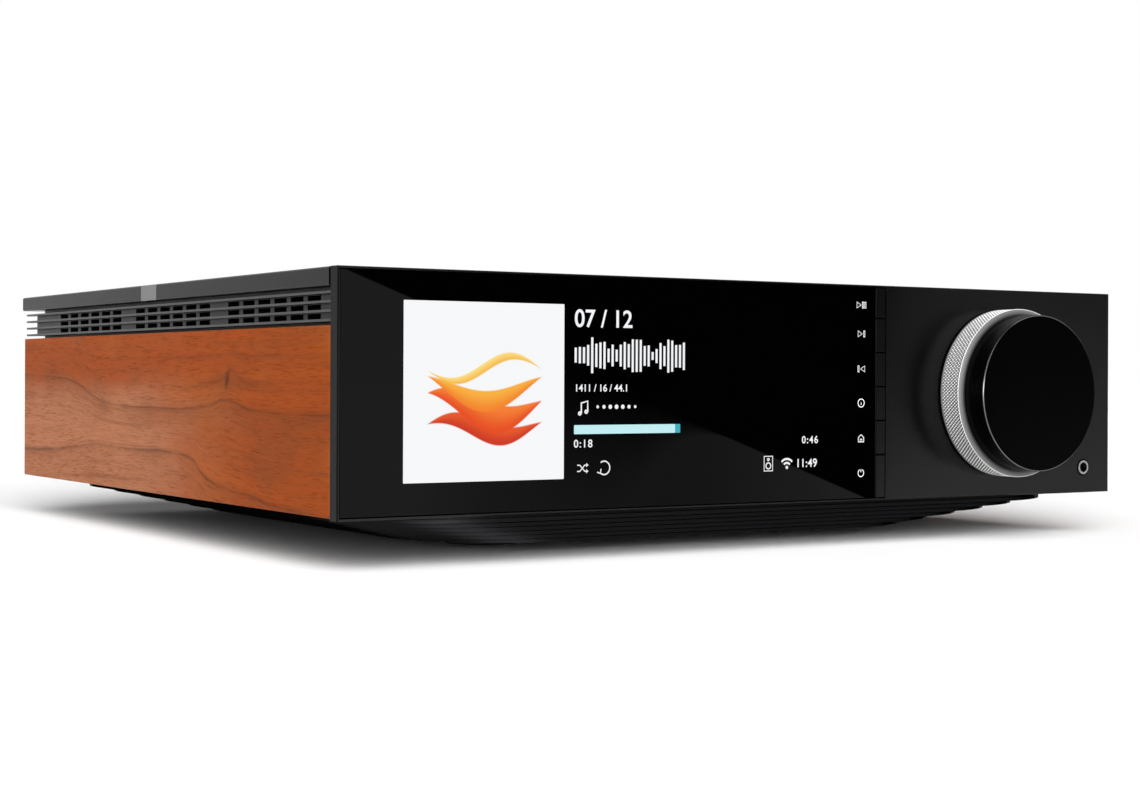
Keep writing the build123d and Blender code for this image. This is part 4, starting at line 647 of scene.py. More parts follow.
# Each finish: colour, roughness and metallic, then what differs from the usual values.
FINISHES = {
    "black_glass": (
        (0.0002, 0.0002, 0.0003), 0.02, 0.0,
        dict(grains=300.0, tone=0.2, patches=0.01, relief=0.0, ior=1.235),
    ),
    "dark_anodised": (
        (0.031, 0.031, 0.032), 0.27, 1.0,
        dict(grains=2600.0, patches=0.02, relief=0.05, edge=0.75, painted_light=fascia_side_painted_shade),
    ),
    "plinth_metal": ((0.012, 0.012, 0.013), 0.35, 1.0, dict(grains=2600.0, tone=0.08, edge=0.3)),
    "vent_metal": (
        (0.034, 0.034, 0.035), 0.32, 1.0, dict(stretch=(4.0, 0.2, 4.0), edge=0.75, painted_light=fin_edge_painted_highlight),
    ),
    "knob_black": (
        (0.016, 0.016, 0.0165), 0.25, 1.0,
        dict(
            stretch=(1.0, 0.05, 1.0), grains=3000.0, tone=0.06, patches=0.02, relief=0.04, edge=0.6,
            painted_light=knob_painted_light,
        ),
    ),
    "ring_silver": (
        (0.98, 0.98, 0.98), 0.5, 0.35,
        dict(grains=2500.0, tone=0.06, patches=0.03, relief=0.04, painted_light=ring_painted_light),
    ),
    "inlay_silver": (
        (0.30, 0.30, 0.305), 0.34, 1.0,
        dict(stretch=(0.1, 6.0, 6.0), grains=1200.0, tone=0.12, edge=0.5),
    ),
    "key_metal": (
        (0.030, 0.030, 0.031), 0.27, 1.0,
        dict(grains=2600.0, patches=0.02, edge=0.35, painted_light=key_end_painted_shade),
    ),
    "black_plastic": ((0.018, 0.018, 0.02), 0.48, 0.0, dict(grains=1800.0)),
    "chassis_black": (
        (0.02, 0.02, 0.022), 0.5, 0.0,
        dict(grains=1400.0, tone=0.2, relief=0.35, relief_depth=0.00005),
    ),
    "zinc_steel": ((0.58, 0.58, 0.56), 0.32, 1.0, dict(grains=900.0, tone=0.12, patches=0.1)),
    "bright_nickel": ((0.40, 0.39, 0.385), 0.2, 1.0, dict(grains=900.0)),
    "gold_plate": ((0.83, 0.6, 0.24), 0.2, 1.0, dict(grains=900.0)),
    "heat_black": ((0.04, 0.04, 0.045), 0.4, 1.0, dict(stretch=(1.0, 1.0, 0.1))),
    "capacitor_sleeve": ((0.02, 0.02, 0.04), 0.3, 0.0, {}),
    "core_steel": ((0.1, 0.1, 0.11), 0.45, 0.6, dict(stretch=(1.0, 1.0, 8.0), grains=400.0)),
    "foot_rubber": ((0.008, 0.008, 0.008), 0.75, 0.0, dict(grains=1200.0)),
    "ribbon_grey": (
        (0.3, 0.31, 0.33), 0.5, 0.0, dict(stretch=(8.0, 0.02, 0.02), grains=200.0, tone=0.4),
    ),
    "wire_red": ((0.35, 0.02, 0.02), 0.4, 0.0, {}),
    "wire_dark": ((0.02, 0.02, 0.025), 0.4, 0.0, {}),
    "cap_red": ((0.4, 0.01, 0.012), 0.18, 0.0, dict(coat=0.3, relief=0.02)),
    "cap_black": ((0.012, 0.012, 0.014), 0.18, 0.0, dict(coat=0.3, relief=0.02)),
}
MATERIALS = {
    name: finish_material(name, *main, **others) for name, (*main, others) in FINISHES.items()
}
MATERIALS["walnut"] = walnut_material()
MATERIALS["circuit_green"] = board_material()

for subpart in frame["record"]["subparts"]:
    node = NODES[subpart["node"]]
    node.data.materials.clear()
    node.data.materials.append(MATERIALS[subpart["material_slot"]])


# Meshes and geometry trees


def settle(piece, material, body="case"):
    """Give a finished piece its material and the body that it rides on."""
    piece.data.materials.clear()
    piece.data.materials.append(material)
    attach(piece, body)
    return piece


def object_from(name, data):
    piece = bpy.data.objects.new(name, data)
    scene.collection.objects.link(piece)
    return piece


def plain_mesh(piece, name):
    """Evaluated mesh of a piece with its modifiers, as a new plain object in its place."""
    graph = bpy.context.evaluated_depsgraph_get()
    mesh = bpy.data.meshes.new_from_object(piece.evaluated_get(graph))
    old = piece.data
    bpy.data.objects.remove(piece)
    if isinstance(old, bpy.types.Mesh):
        bpy.data.meshes.remove(old)
    mesh.name = name
    return object_from(name, mesh)


class Making(Nodes):
    """Nodes of one geometry tree with named inputs."""

    def __init__(self, name, inputs):
        super().__init__(bpy.data.node_groups.new(name, "GeometryNodeTree"))
        sockets = self.tree.interface
        for in_out in ("INPUT", "OUTPUT"):
            sockets.new_socket("Geometry", in_out=in_out, socket_type="NodeSocketGeometry")
        self.ids = {}
        for label, kind, value in inputs:
            socket = sockets.new_socket(label, in_out="INPUT", socket_type=kind)
            socket.default_value = value
            self.ids[label] = socket.identifier
        self.given = self.node("NodeGroupInput").outputs
        self.out = self.node("NodeGroupOutput").inputs

    def end(self, geometry, material):
        """Realise what the tree made and give it its material."""
        real = self.fed("GeometryNodeRealizeInstances", [geometry]).outputs[0]
        values = {"Geometry": real, "Material": material}
        self.join(self.fed("GeometryNodeSetMaterial", values).outputs[0], self.out["Geometry"])


def make_with(tree, piece, values, name):
    """Run a geometry tree on a piece with the given inputs and keep the plain result."""
    modifier = piece.modifiers.new("making", "NODES")
    modifier.node_group = tree.tree
    for label, value in values.items():
        modifier[tree.ids[label]] = value
    return plain_mesh(piece, name)


# Knurled ring. A grid is rolled round the control's axis onto an outline of radius and depth, and
# diamonds are pressed in where the outline is the rim.


def ring_outline():
    """Radius and depth of the ring's closed outline, in millimetres, with rows along the rim."""
    r = RING
    points = [
        (r["bore"], r["hub_front"]), (r["hub"], r["hub_front"]), (r["hub"], r["web_front"]),
        (r["inner"], r["web_front"]), (r["inner"], r["front_depth"] + r["inner_bevel"]),
        (r["inner"] + r["inner_bevel"], r["front_depth"]),
        (r["front"] - r["front_bevel"], r["front_depth"]),
        (r["front"] + r["front_bevel"], r["front_depth"] + r["front_bevel"]),
        (r["outer"] - r["shoulder_bevel"], r["shoulder_depth"] - r["front_bevel"]),
    ]
    first, last = r["shoulder_depth"], r["rear_depth"] - r["rear_bevel"]
    for row in range(KNURL_ROWS + 1):
        points.append((r["outer"], first + (last - first) * row / KNURL_ROWS))
    points += [
        (r["outer"] - r["rear_bevel"], r["rear_depth"]), (r["inner"], r["rear_depth"]),
        (r["inner"], r["web_rear"]), (r["bore"], r["web_rear"]), (r["bore"], r["hub_front"]),
    ]
    return points


def knurled_ring_tree(material):
    t = Making("knurled_ring", [
        ("Knurls round", INT, 156), ("Steps per knurl", INT, 4), ("Outline points", INT, 41),
        ("Knurl length", FLOAT, 0.0016), ("Knurl height", FLOAT, 0.0004), ("Axis X", FLOAT, 0.1),
        ("Axis Z", FLOAT, 0.05), ("Front Y", FLOAT, -0.15),
    ])
    given = t.given
    whole_turn = 2 * math.pi
    around = t.plus(t.times(given["Knurls round"], given["Steps per knurl"]), 1.0)
    values = {"Vertices X": around, "Vertices Y": given["Outline points"]}
    grid = t.fed("GeometryNodeMeshGrid", values).outputs[0]
    position = t.node("GeometryNodeInputPosition").outputs[0]
    grid_x, grid_y, _ = t.split(position)
    turn = t.times(t.plus(grid_x, 0.5), whole_turn)
    last = t.minus(given["Outline points"], 1.0)
    index = t.maths("ROUND", t.times(t.plus(grid_y, 0.5), last))
    values = {"Geometry": given["Geometry"], "Value": position, "Index": index}
    sample = t.fed("GeometryNodeSampleIndex", values, data_type="FLOAT_VECTOR").outputs[0]
    radius, depth, on_rim = t.split(sample)

    knurls = t.over(t.times(turn, given["Knurls round"]), whole_turn)
    rows_along = t.over(depth, given["Knurl length"])
    one_way = t.maths("PINGPONG", t.plus(knurls, rows_along), 0.5)
    other_way = t.maths("PINGPONG", t.minus(knurls, rows_along), 0.5)
    diamond = t.times(t.lowest(one_way, other_way), 2.0)
    drop = t.times(t.minus(diamond, 1.0), given["Knurl height"])
    radius = t.plus(radius, t.times(drop, on_rim))

    x = t.plus(given["Axis X"], t.times(radius, t.maths("COSINE", turn)))
    z = t.plus(given["Axis Z"], t.times(radius, t.maths("SINE", turn)))
    values = {"Geometry": grid, "Position": t.joined(x, t.plus(given["Front Y"], depth), z)}
    moved = t.fed("GeometryNodeSetPosition", values).outputs[0]
    values = {"Geometry": moved, "Distance": GRID_GAP}
    t.end(t.fed("GeometryNodeMergeByDistance", values).outputs[0], material)
    return t


def outwards(mesh):
    """Merge doubles and turn every face outwards."""
    work = bmesh.new()
    work.from_mesh(mesh)
    bmesh.ops.remove_doubles(work, verts=work.verts, dist=DOUBLE_GAP)
    bmesh.ops.recalc_face_normals(work, faces=work.faces)
    work.to_mesh(mesh)
    work.free()


def knurled_ring():
    """The outline goes in as points: radius, depth, and 1 where diamonds are pressed."""
    rim_low = RING["shoulder_depth"] + RING["plain_front"]
    rim_high = RING["rear_depth"] - RING["plain_rear"]
    rows = []
    for radius, depth in ring_outline():
        on_rim = 1.0 if radius == RING["outer"] and rim_low < depth < rim_high else 0.0
        rows.append((radius * MM, depth * MM, on_rim))
    mesh = bpy.data.meshes.new("ring_outline")
    mesh.from_pydata(rows, [(i, i + 1) for i in range(len(rows) - 1)], [])
    ring = make_with(
        knurled_ring_tree(MATERIALS["ring_silver"]), object_from("ring_carrier", mesh),
        {
            "Knurls round": KNURLS_ROUND,
            "Steps per knurl": STEPS_PER_KNURL,
            "Outline points": len(rows),
            "Knurl length": (RING["rear_depth"] - RING["shoulder_depth"]) / KNURLS_ACROSS * MM,
            "Knurl height": KNURL_HEIGHT * MM,
            "Axis X": CONTROL_X,
            "Axis Z": CONTROL_Z,
            "Front Y": FRONT_Y,
        },
        "knurled_ring",
    )
    outwards(ring.data)
    settle(ring, MATERIALS["ring_silver"], "selector")
    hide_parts("selector_ring")


knurled_ring()


# Display: a picture on the left, then level bars, a bar of progress, numbers and symbols. All of
# it lies in a film on the glass. Its sizes are in millimetres, and its places are measured from the
# fascia's lower left corner.
FILM = 0.04
LIT_WHITE = glow_material("lit_white", (0.9, 0.91, 0.93))
LIT_CYAN = glow_material("lit_cyan", (0.55, 0.86, 0.90))
LIT_TEAL = glow_material("lit_teal", (0.06, 0.42, 0.50))
LIT_SOFT = glow_material("lit_soft", (0.95, 0.95, 0.97), 1.5)

PICTURE = {"left": 21.3, "right": 76.8, "bottom": 10.5, "top": 64.2}
PICTURE_PAPER = (0.93, 0.935, 0.95, 1.0)
PICTURE_MARGIN = 0.14
BAND_EDGE = (-0.004, 0.006)
BAND_TIP = 0.05
BAND_LEAST = 0.001

# Bands of the picture: level, swing, waves, shift and thickness as shares of the picture, then
# the colours of its lower and its upper side.
PICTURE_BANDS = [
    (0.30, 0.050, 6.5, 0.4, 0.060, (0.62, 0.045, 0.02), (0.80, 0.11, 0.03)),
    (0.42, 0.075, 5.4, 1.3, 0.085, (0.80, 0.08, 0.02), (0.92, 0.22, 0.04)),
    (0.53, 0.085, 4.6, 2.4, 0.060, (0.90, 0.24, 0.03), (0.95, 0.45, 0.06)),
    (0.63, 0.070, 6.2, 3.3, 0.028, (0.92, 0.50, 0.08), (0.98, 0.72, 0.22)),
]
BAND_LABELS = ("Level", "Swing", "Waves", "Shift", "Thickness")


def picture_band_group():
    """One wavy band of the picture: 1 inside it, 0 outside, and a shade from 0 below to 1 above."""
    tree, s, given, out = new_group(
        "picture_band",
        [
            ("Across", FLOAT, 0.0), ("Up", FLOAT, 0.0), ("Level", FLOAT, 0.5),
            ("Swing", FLOAT, 0.1), ("Waves", FLOAT, 5.0), ("Shift", FLOAT, 0.0),
            ("Thickness", FLOAT, 0.1),
        ],
        [("Mask", FLOAT), ("Shade", FLOAT)],
    )
    phase = s.plus(s.times(given["Across"], given["Waves"]), given["Shift"])
    middle = s.plus(given["Level"], s.times(s.maths("SINE", phase), given["Swing"]))
    taper = s.maths("SINE", s.times(given["Across"], math.pi))
    half = s.times(given["Thickness"], s.highest(taper, 0.0))
    away = s.minus(given["Up"], middle)
    edge = s.ramp(s.minus(half, s.size(away)), *BAND_EDGE)
    s.join(s.times(edge, s.ramp(taper, 0.0, BAND_TIP)), out["Mask"])
    s.join(s.ramp(s.over(away, s.highest(half, BAND_LEAST)), -1.0, 1.0), out["Shade"])
    return tree


def picture_material():
    """Wavy bands on a pale ground."""
    made, s = new_material("cover_picture")
    x, _, z = s.object_xyz()
    low = on_front(PICTURE["left"], PICTURE["bottom"])
    across = s.over(s.minus(x, low.x), (PICTURE["right"] - PICTURE["left"]) * MM)
    up = s.over(s.minus(z, low.z), (PICTURE["top"] - PICTURE["bottom"]) * MM)
    inner = s.over(s.minus(across, PICTURE_MARGIN), 1.0 - 2 * PICTURE_MARGIN)
    group = picture_band_group()
    colour = PICTURE_PAPER
    for *shape, lower_side, upper_side in PICTURE_BANDS:
        values = {"Across": inner, "Up": up, **dict(zip(BAND_LABELS, shape))}
        band = s.fed("ShaderNodeGroup", values, node_tree=group).outputs
        shade = s.blend(band["Shade"], lower_side + (1.0,), upper_side + (1.0,))
        colour = s.blend(band["Mask"], colour, shade)
    lit_surface(s, colour)
    return made


PLATE_CORNER = 0.25
PLATE_CORNER_LIMIT = 2.2
PLATE_CORNER_POINTS = 4


def plate(name, left, bottom, right, top):
    """Thin plate on the glass, with slightly rounded corners, as a closed solid."""
    limit = PLATE_CORNER_LIMIT
    corner = min(PLATE_CORNER, (top - bottom) / limit, (right - left) / limit)
    outline = []
    for centre_x, centre_z, start in (
        (right - corner, top - corner, 0), (left + corner, top - corner, 90),
        (left + corner, bottom + corner, 180), (right - corner, bottom + corner, 270),
    ):
        outline += arc(centre_x, centre_z, corner, start, start + 90, PLATE_CORNER_POINTS - 1)
    points = [on_front(*place, proud) for proud in (FILM, 0.0) for place in outline]
    count = len(outline)
    faces = [tuple(range(count)), tuple(reversed(range(count, 2 * count)))]
    for here in range(count):
        beyond = (here + 1) % count
        faces.append((beyond, here, here + count, beyond + count))
    mesh = bpy.data.meshes.new(name)
    mesh.from_pydata(points, [], faces)
    return object_from(name, mesh)


def strokes(lines, width):
    """Round-ended strokes on the glass, flattened into the film. Each line can be closed."""
    curve = bpy.data.curves.new("strokes", "CURVE")
    curve.dimensions = "3D"
    curve.bevel_depth = width * MM / 2
    curve.bevel_resolution = 2
    curve.use_fill_caps = True
    for points, closed in lines:
        spline = curve.splines.new("POLY")
        spline.points.add(len(points) - 1)
        for target, (x, z) in zip(spline.points, points):
            target.co = (*on_front(x, z), 1.0)
        spline.use_cyclic_u = closed
    made = plain_mesh(object_from("strokes", curve), "strokes")
    for vertex in made.data.vertices:
        vertex.co.y = FRONT_Y + (vertex.co.y - FRONT_Y) * FILM / width * 2
    return made


# Share of the letter size that a figure is high, and share of its height that it is thickened by.
FIGURE_SHARE = 0.73
THICKENED_SHARE = 0.018


def words(text, end, foot, height, right=False, spacing=1.0):
    """Figures on the glass, from their left end or up to their right end."""
    curve = bpy.data.curves.new("words", "FONT")
    curve.body = text
    curve.size = height * MM / FIGURE_SHARE
    curve.offset = height * MM * THICKENED_SHARE
    curve.extrude = FILM * MM
    curve.space_character = spacing
    curve.align_x = "RIGHT" if right else "LEFT"
    made = plain_mesh(object_from("words", curve), "words")
    place = on_front(end, foot)
    for vertex in made.data.vertices:
        x, y, z = vertex.co
        vertex.co = (place.x + x, FRONT_Y - (z + FILM * MM) / 2, place.z + y)
    return made


def fuse(pieces, name):
    """Join several pieces into one mesh."""
    work = bmesh.new()
    for piece in pieces:
        work.from_mesh(piece.data)
        old = piece.data
        bpy.data.objects.remove(piece)
        bpy.data.meshes.remove(old)
    mesh = bpy.data.meshes.new(name)
    work.to_mesh(mesh)
    work.free()
    return object_from(name, mesh)


def arc(x, z, radius, start, stop, steps=20):
    """Points round a centre, between two angles in degrees."""
    angles = [math.radians(start + (stop - start) * i / steps) for i in range(steps + 1)]
    return [(x + radius * math.cos(a), z + radius * math.sin(a)) for a in angles]


def dot(x, z, radius, stop=330, steps=11):
    """Small closed circle, as a line for strokes."""
    return (arc(x, z, radius, 0, stop, steps), True)


PROGRESS = {"left": 80.5, "now": 118.7, "right": 120.7, "bottom": 24.2, "top": 27.0}

settle(
    plate("cover_picture", PICTURE["left"], PICTURE["bottom"], PICTURE["right"], PICTURE["top"]),
    picture_material(),
)
for name, left, right, glow in (
    ("progress_bar", PROGRESS["left"], PROGRESS["now"], LIT_CYAN),
    ("progress_mark", PROGRESS["now"], PROGRESS["right"], LIT_TEAL),
):
    settle(plate(name, left, PROGRESS["bottom"], right, PROGRESS["top"]), glow)


SWELL_WAVES = 9.2
SWELL_SHARE = 0.55


def level_bars_tree(material):
    """Upright bars in a row, with heights from a fixed seed under a gentle swell."""
    t = Making("level_bars", [
        ("Bars", INT, 28), ("Pitch", FLOAT, 0.0015), ("Bar width", FLOAT, 0.0008),
        ("Film", FLOAT, 0.00004), ("Lowest", FLOAT, 0.0012), ("Highest", FLOAT, 0.0115),
        ("Start", "NodeSocketVector", (0.0, 0.0, 0.0)), ("Seed", INT, 7),
    ])
    given = t.given
    values = {
        "Count": given["Bars"], "Start Location": given["Start"],
        "Offset": t.joined(given["Pitch"], 0.0, 0.0),
    }
    row = t.fed("GeometryNodeMeshLine", values, mode="OFFSET").outputs[0]
    index = t.node("GeometryNodeInputIndex").outputs[0]
    swell = t.size(t.maths("SINE", t.times(t.over(index, given["Bars"]), SWELL_WAVES)))
    values = {"ID": index, "Seed": given["Seed"]}
    chance = t.fed("FunctionNodeRandomValue", values, data_type="FLOAT").outputs[1]
    mix = t.plus(t.times(swell, SWELL_SHARE), t.times(chance, 1.0 - SWELL_SHARE))
    height = t.line(given["Lowest"], mix, t.minus(given["Highest"], given["Lowest"]))
    values = {
        "Points": row,
        "Instance": t.fed("GeometryNodeMeshCube", {"Size": (1.0, 1.0, 1.0)}).outputs[0],
        "Scale": t.joined(given["Bar width"], given["Film"], height),
    }
    t.end(t.fed("GeometryNodeInstanceOnPoints", values).outputs[0], material)
    return t


BARS_START = (81.0, 48.6, FILM / 2)
level_bars = make_with(
    level_bars_tree(LIT_WHITE), object_from("bars_carrier", bpy.data.meshes.new("bars_carrier")),
    {
        "Bars": 28, "Pitch": 1.52 * MM, "Bar width": 0.8 * MM, "Film": FILM * MM,
        "Lowest": 1.2 * MM, "Highest": 11.5 * MM, "Start": on_front(*BARS_START), "Seed": 7,
    },
    "level_bars",
)
settle(level_bars, LIT_WHITE)


def shuffle_symbol(x, z):
    w, low, high = 3.9, z + 0.4, z + 2.9 - 0.6
    lines = []
    for start, stop in ((low, high), (high, low)):
        lines.append(([(x, start), (x + 1.0, start), (x + 2.8, stop), (x + w, stop)], False))
    for tip in (high, low):
        arrow = [(x + w - 0.5, tip + 0.5), (x + w + 0.1, tip), (x + w - 0.5, tip - 0.5)]
        lines.append((arrow, True))
    return strokes(lines, 0.36)


def repeat_symbol(x, z):
    ring = arc(x, z, 2.1, 128, -128)
    end_x, end_z = ring[-1]
    arrow = [(end_x + 0.15, end_z + 1.35), (end_x - 0.15, end_z), (end_x - 1.3, end_z + 0.35)]
    return strokes([(ring, False), (arrow, False)], 0.42)


def wireless_symbol(x, z):
    waves = [(arc(x, z, radius, 43, 137), False) for radius in (1.7, 3.0)]
    return strokes([*waves, dot(x, z + 0.2, 0.22)], 0.68)


def loudspeaker_symbol(x, z):
    box = [(x, z), (x + 3.5, z), (x + 3.5, z + 4.8), (x, z + 4.8)]
    cones = [dot(x + 1.75, z + 1.65, 1.0, 340, 17), dot(x + 1.75, z + 3.75, 0.35)]
    return strokes([(box, True), *cones], 0.4)


def note_symbol(x, z):
    stem = [(x + 0.55, z), (x + 0.55, z + 3.2), (x + 2.9, z + 3.8), (x + 2.9, z + 0.5)]
    return strokes([(stem, False), dot(x, z, 0.42), dot(x + 2.35, z + 0.5, 0.42)], 0.55)


def dot_row(x, z, count=7, pitch=2.35):
    """Row of dots from small to large and back."""
    swells = [math.sin(math.pi * (i + 0.5) / count) for i in range(count)]
    return [
        strokes([dot(x + pitch * i, z, (0.34 + 0.30 * swell) / 2)], 0.5 + 0.3 * swell)
        for i, swell in enumerate(swells)
    ]


KEY_SYMBOL_X = 196.3
KEY_SYMBOL_HALF = 1.02
KEY_STROKE = 0.25
KEY_HEIGHTS = {
    "play_pause": 66.7, "next": 56.9, "previous": 45.0, "info": 33.4, "home": 21.4, "power": 9.6,
}


def key_symbols():
    """Outline symbols beside the keys, from the top key down."""
    x = KEY_SYMBOL_X
    half = KEY_SYMBOL_HALF

    def upright(near, far, z):
        """Box between two distances from the symbols' middle."""
        near, far, low, high = x + near, x + far, z - half, z + half
        return ([(near, low), (far, low), (far, high), (near, high)], True)

    def triangle(foot, tip, z):
        return ([(x + foot, z - half), (x + foot, z + half), (x + tip, z)], True)

    z = KEY_HEIGHTS["play_pause"]
    lines = [triangle(-2.05, -0.15, z), upright(0.35, 0.90, z), upright(1.40, 1.95, z)]
    for name, way in (("next", 1), ("previous", -1)):
        z = KEY_HEIGHTS[name]
        lines += [triangle(-1.5 * way, 0.35 * way, z), upright(1.0 * way, 1.5 * way, z)]
    z = KEY_HEIGHTS["info"]
    lines += [
        dot(x, z, 1.38, 345, 23), ([(x, z - 0.60), (x, z + 0.10)], False),
        ([(x, z + 0.60), (x, z + 0.65)], False),
    ]
    z = KEY_HEIGHTS["home"]
    house = [(-1.2, -1.25), (1.2, -1.25), (1.2, 0.25), (0.0, 1.3), (-1.2, 0.25)]
    door = [(-0.4, -1.25), (-0.4, -0.25), (0.4, -0.25), (0.4, -1.25)]
    for outline, closed in ((house, True), (door, False)):
        lines.append(([(x + across, z + up) for across, up in outline], closed))
    z = KEY_HEIGHTS["power"]
    lines += [(arc(x, z, 1.25, 115, 425, 23), False), ([(x, z + 0.25), (x, z + 1.25)], False)]
    return strokes(lines, KEY_STROKE)


# Figures take a text, where it starts or ends, its foot and its height. Symbols take a place.
figures = [
    words("07 / 12", 80.5, 57.4, 5.6),
    words("1411 / 16 / 44.1", 80.6, 37.4, 2.3),
    words("0:18", 80.4, 20.1, 2.5, spacing=1.2),
    words("0:46", 177.5, 20.1, 2.5, right=True, spacing=1.22),
    words("11:49", 177.1, 12.2, 2.85, right=True, spacing=1.06),
    shuffle_symbol(81.7, 12.3),
    repeat_symbol(91.7, 13.6),
    wireless_symbol(164.2, 12.0),
    loudspeaker_symbol(154.7, 11.2),
    note_symbol(82.6, 30.6),
    *dot_row(89.2, 32.6),
]
settle(fuse(figures, "display_figures"), LIT_WHITE)
settle(key_symbols(), LIT_SOFT).name = "key_symbols"


# Floor, light and camera

CAMERA_FROM_CORNER = Vector((-0.244783, -0.509104, 0.041986))
CAMERA_PLACE = Vector((LEFT_X, FRONT_Y, BOTTOM_Z)) + CAMERA_FROM_CORNER
CAMERA_YAW = math.radians(32.452)
CAMERA_ROLL = math.radians(0.244)
FOCAL_PIXELS = 1959.884
FRAME_WIDTH = 1140
FRAME_HEIGHT = 800
PRINCIPAL_ROW = 376.523
SENSOR_WIDTH = 36.0
CLIP = (0.01, 100.0)

FLOOR_REACH = 12.0
FLOOR_TONE = 0.96
SPECK_TONE = 0.02
SPECK_NOISE = (30.0, 2.0)

# Flags are black screens that only the gloss sees, so that the glass looks dark. The near one
# stands ahead of the front. Its lower edge runs, in the camera's mirrored view, through two places
# on the front, and it softens below that edge as the shares say along a 200 x 100 mm field.
NEAR = 180.0
NEAR_BOTTOM = 0.001
NEAR_TOP = 1.2
NEAR_LEFT = -150.0
NEAR_RIGHT = 202.3
FLAG_FIELD = (200.0, 100.0)
FLAG_EDGE = ((1.0, 73.1), (200.4, 0.3))
FLAG_LEAST_FADE = 0.0005
FLAG_FADE_SHARES = [
    (0.0, 0.0), (0.24, 0.0), (0.34, 0.42), (0.42, 0.44), (0.50, 0.33), (0.62, 0.06), (0.70, 0.0),
    (1.0, 0.0),
]
FLAG_VEIL_SHARES = [
    (0.0, 0.0), (0.10, 0.0), (0.19, 0.20), (0.30, 0.38), (0.40, 0.42), (0.50, 0.45), (0.62, 0.47),
    (0.75, 0.36), (0.88, 0.20), (0.96, 0.04), (1.0, 0.0),
]
FAR_LEFT = 2.15
FAR_RIGHT = 7.0
FAR_Y = -2.6
FAR_TOP = 3.0

# Suns: turn in degrees, strength, and softness in degrees.
SUNS = {
    "front_light": ((50.0, 0.0, -25.0), 2.75, 60.0),
    "low_light": ((75.0, 0.0, -25.0), 4.85, 50.0),
    "rear_light": ((55.0, 0.0, -135.0), 0.4, 50.0),
}
WORLD_SEEN = 1.0
WORLD_LIGHT = 0.03


def floor_material():
    """Pale floor with a faint speckle."""
    made, s = new_material("studio_floor")
    tone = s.line(FLOOR_TONE, SPECK_TONE, s.noise(s.object_place(), *SPECK_NOISE))
    s.surface(s.fed("ShaderNodeBsdfDiffuse", [tone]).outputs[0])
    return made


def backdrop_plane(name, corners, material):
    mesh = bpy.data.meshes.new(name)
    mesh.from_pydata(corners, [], [tuple(range(len(corners)))])
    made = object_from(name, mesh)
    made.data.materials.append(material)
    return made


def mirrored(across, up):
    """Where the camera's mirrored sight line through a place on the front meets the near flag."""
    image = Vector((CAMERA_PLACE.x, 2 * FRONT_Y - CAMERA_PLACE.y, CAMERA_PLACE.z))
    through = on_front(across, up)
    share = (NEAR_Y - image.y) / (through.y - image.y)
    return image + (through - image) * share


def flag_material():
    """Black above the flag's slanting edge, and softly see-through below it."""
    made, s = new_material("studio_flag")
    x, _, z = s.object_xyz()
    field_width, field_height = FLAG_FIELD
    low, high = mirrored(0.0, 0.0), mirrored(*FLAG_FIELD)
    along = s.over(s.minus(x, low.x), high.x - low.x)
    height = s.times(s.over(s.minus(z, low.z), high.z - low.z), field_height)
    (left, left_up), (right, right_up) = FLAG_EDGE
    slope = (right_up - left_up) / (right - left)
    edge = s.plus(s.times(along, field_width * slope), left_up - left * slope)
    within = s.held(along)
    fade = s.highest(guide_curve(s, within, FLAG_FADE_SHARES), FLAG_LEAST_FADE)
    clear = s.held(s.over(s.minus(edge, height), s.times(fade, field_height)))
    clear = s.times(clear, s.rest(guide_curve(s, within, FLAG_VEIL_SHARES)))
    black = s.fed("ShaderNodeBsdfDiffuse", [BLACK]).outputs[0]
    open_air = s.node("ShaderNodeBsdfTransparent").outputs[0]
    s.surface(s.fed("ShaderNodeMixShader", [clear, black, open_air]).outputs[0])
    return made


def upright_plane(name, left, right, y, bottom, top, material):
    corners = [(left, y, bottom), (right, y, bottom), (right, y, top), (left, y, top)]
    return backdrop_plane(name, corners, material)


def add_sun(name, turn, strength, softness):
    light = bpy.data.lights.new(name, "SUN")
    light.energy = strength
    light.angle = math.radians(softness)
    object_from(name, light).rotation_euler = [math.radians(a) for a in turn]


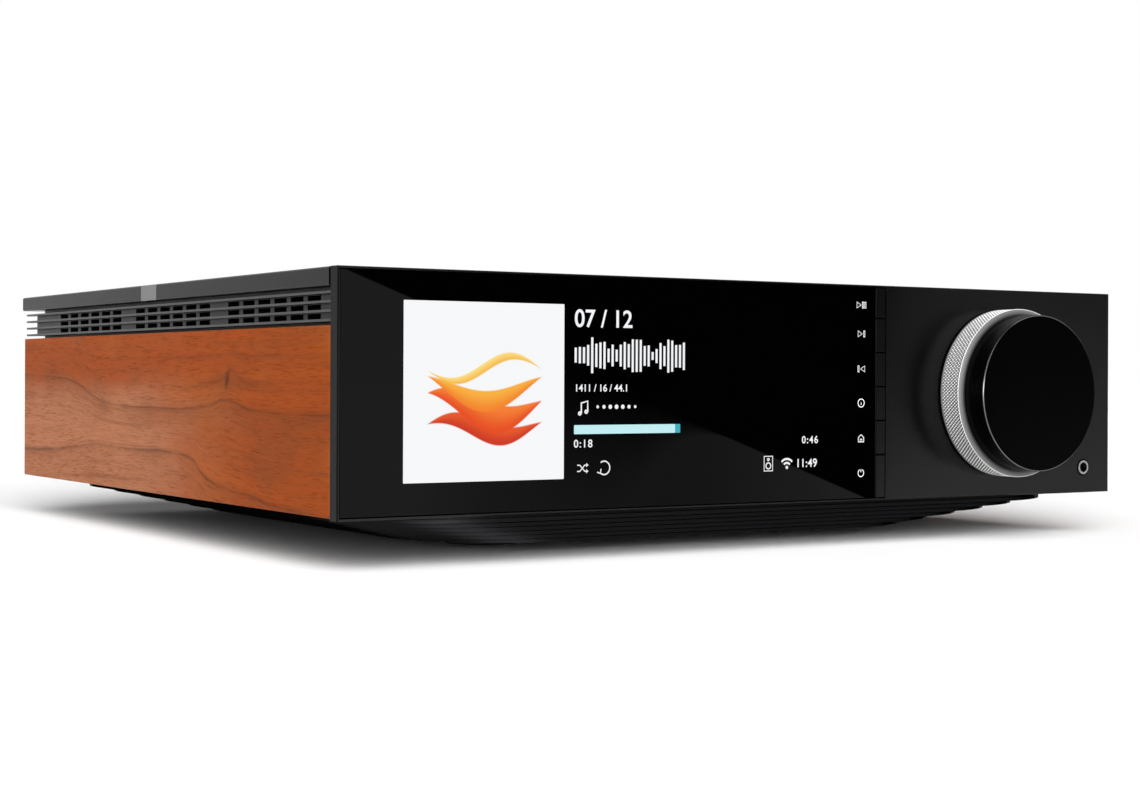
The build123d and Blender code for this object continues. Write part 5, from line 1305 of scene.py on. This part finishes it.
floor_corners = [
    (x * FLOOR_REACH, y * FLOOR_REACH, 0) for x, y in ((-1, -1), (1, -1), (1, 1), (-1, 1))
]
backdrop_plane("floor", floor_corners, floor_material())

NEAR_Y = FRONT_Y - NEAR * MM
FLAG = flag_material()
near_left, near_right = mirrored(NEAR_LEFT, 0.0).x, mirrored(NEAR_RIGHT, 0.0).x
for flag in (
    upright_plane("near_flag", near_left, near_right, NEAR_Y, NEAR_BOTTOM, NEAR_TOP, FLAG),
    upright_plane("far_flag", FAR_LEFT, FAR_RIGHT, FAR_Y, 0.0, FAR_TOP, FLAG),
):
    flag.visible_camera = False
    flag.visible_diffuse = False
    flag.visible_transmission = False
    flag.visible_volume_scatter = False
    flag.visible_shadow = False

for name, sun in SUNS.items():
    add_sun(name, *sun)

# The world is white where the camera and the gloss see it, and gives only a little light.
world = bpy.data.worlds.new("studio")
scene.world = world
world.use_nodes = True
s = Shading(world.node_tree)
rays = s.node("ShaderNodeLightPath").outputs
seen = s.highest(rays["Is Camera Ray"], rays["Is Glossy Ray"])
seen = s.highest(seen, rays["Is Transmission Ray"])
strength = s.line(WORLD_LIGHT, WORLD_SEEN - WORLD_LIGHT, seen)
background = s.fed("ShaderNodeBackground", [(1.0, 1.0, 1.0, 1.0), strength]).outputs[0]
s.surface(background, "ShaderNodeOutputWorld")

camera_data = bpy.data.cameras.new("camera")
camera_data.sensor_width = SENSOR_WIDTH
camera_data.lens = FOCAL_PIXELS / FRAME_WIDTH * SENSOR_WIDTH
camera_data.shift_y = (PRINCIPAL_ROW - FRAME_HEIGHT / 2) / FRAME_WIDTH
camera_data.clip_start, camera_data.clip_end = CLIP
camera = object_from("camera", camera_data)
camera.location = CAMERA_PLACE
camera.rotation_mode = "XYZ"
upright = Matrix.Rotation(math.radians(90), 3, "X")
turn = Matrix.Rotation(-CAMERA_YAW, 3, "Z") @ upright @ Matrix.Rotation(CAMERA_ROLL, 3, "Z")
camera.rotation_euler = turn.to_euler("XYZ")
scene.camera = camera

scene.view_settings.view_transform = "Standard"
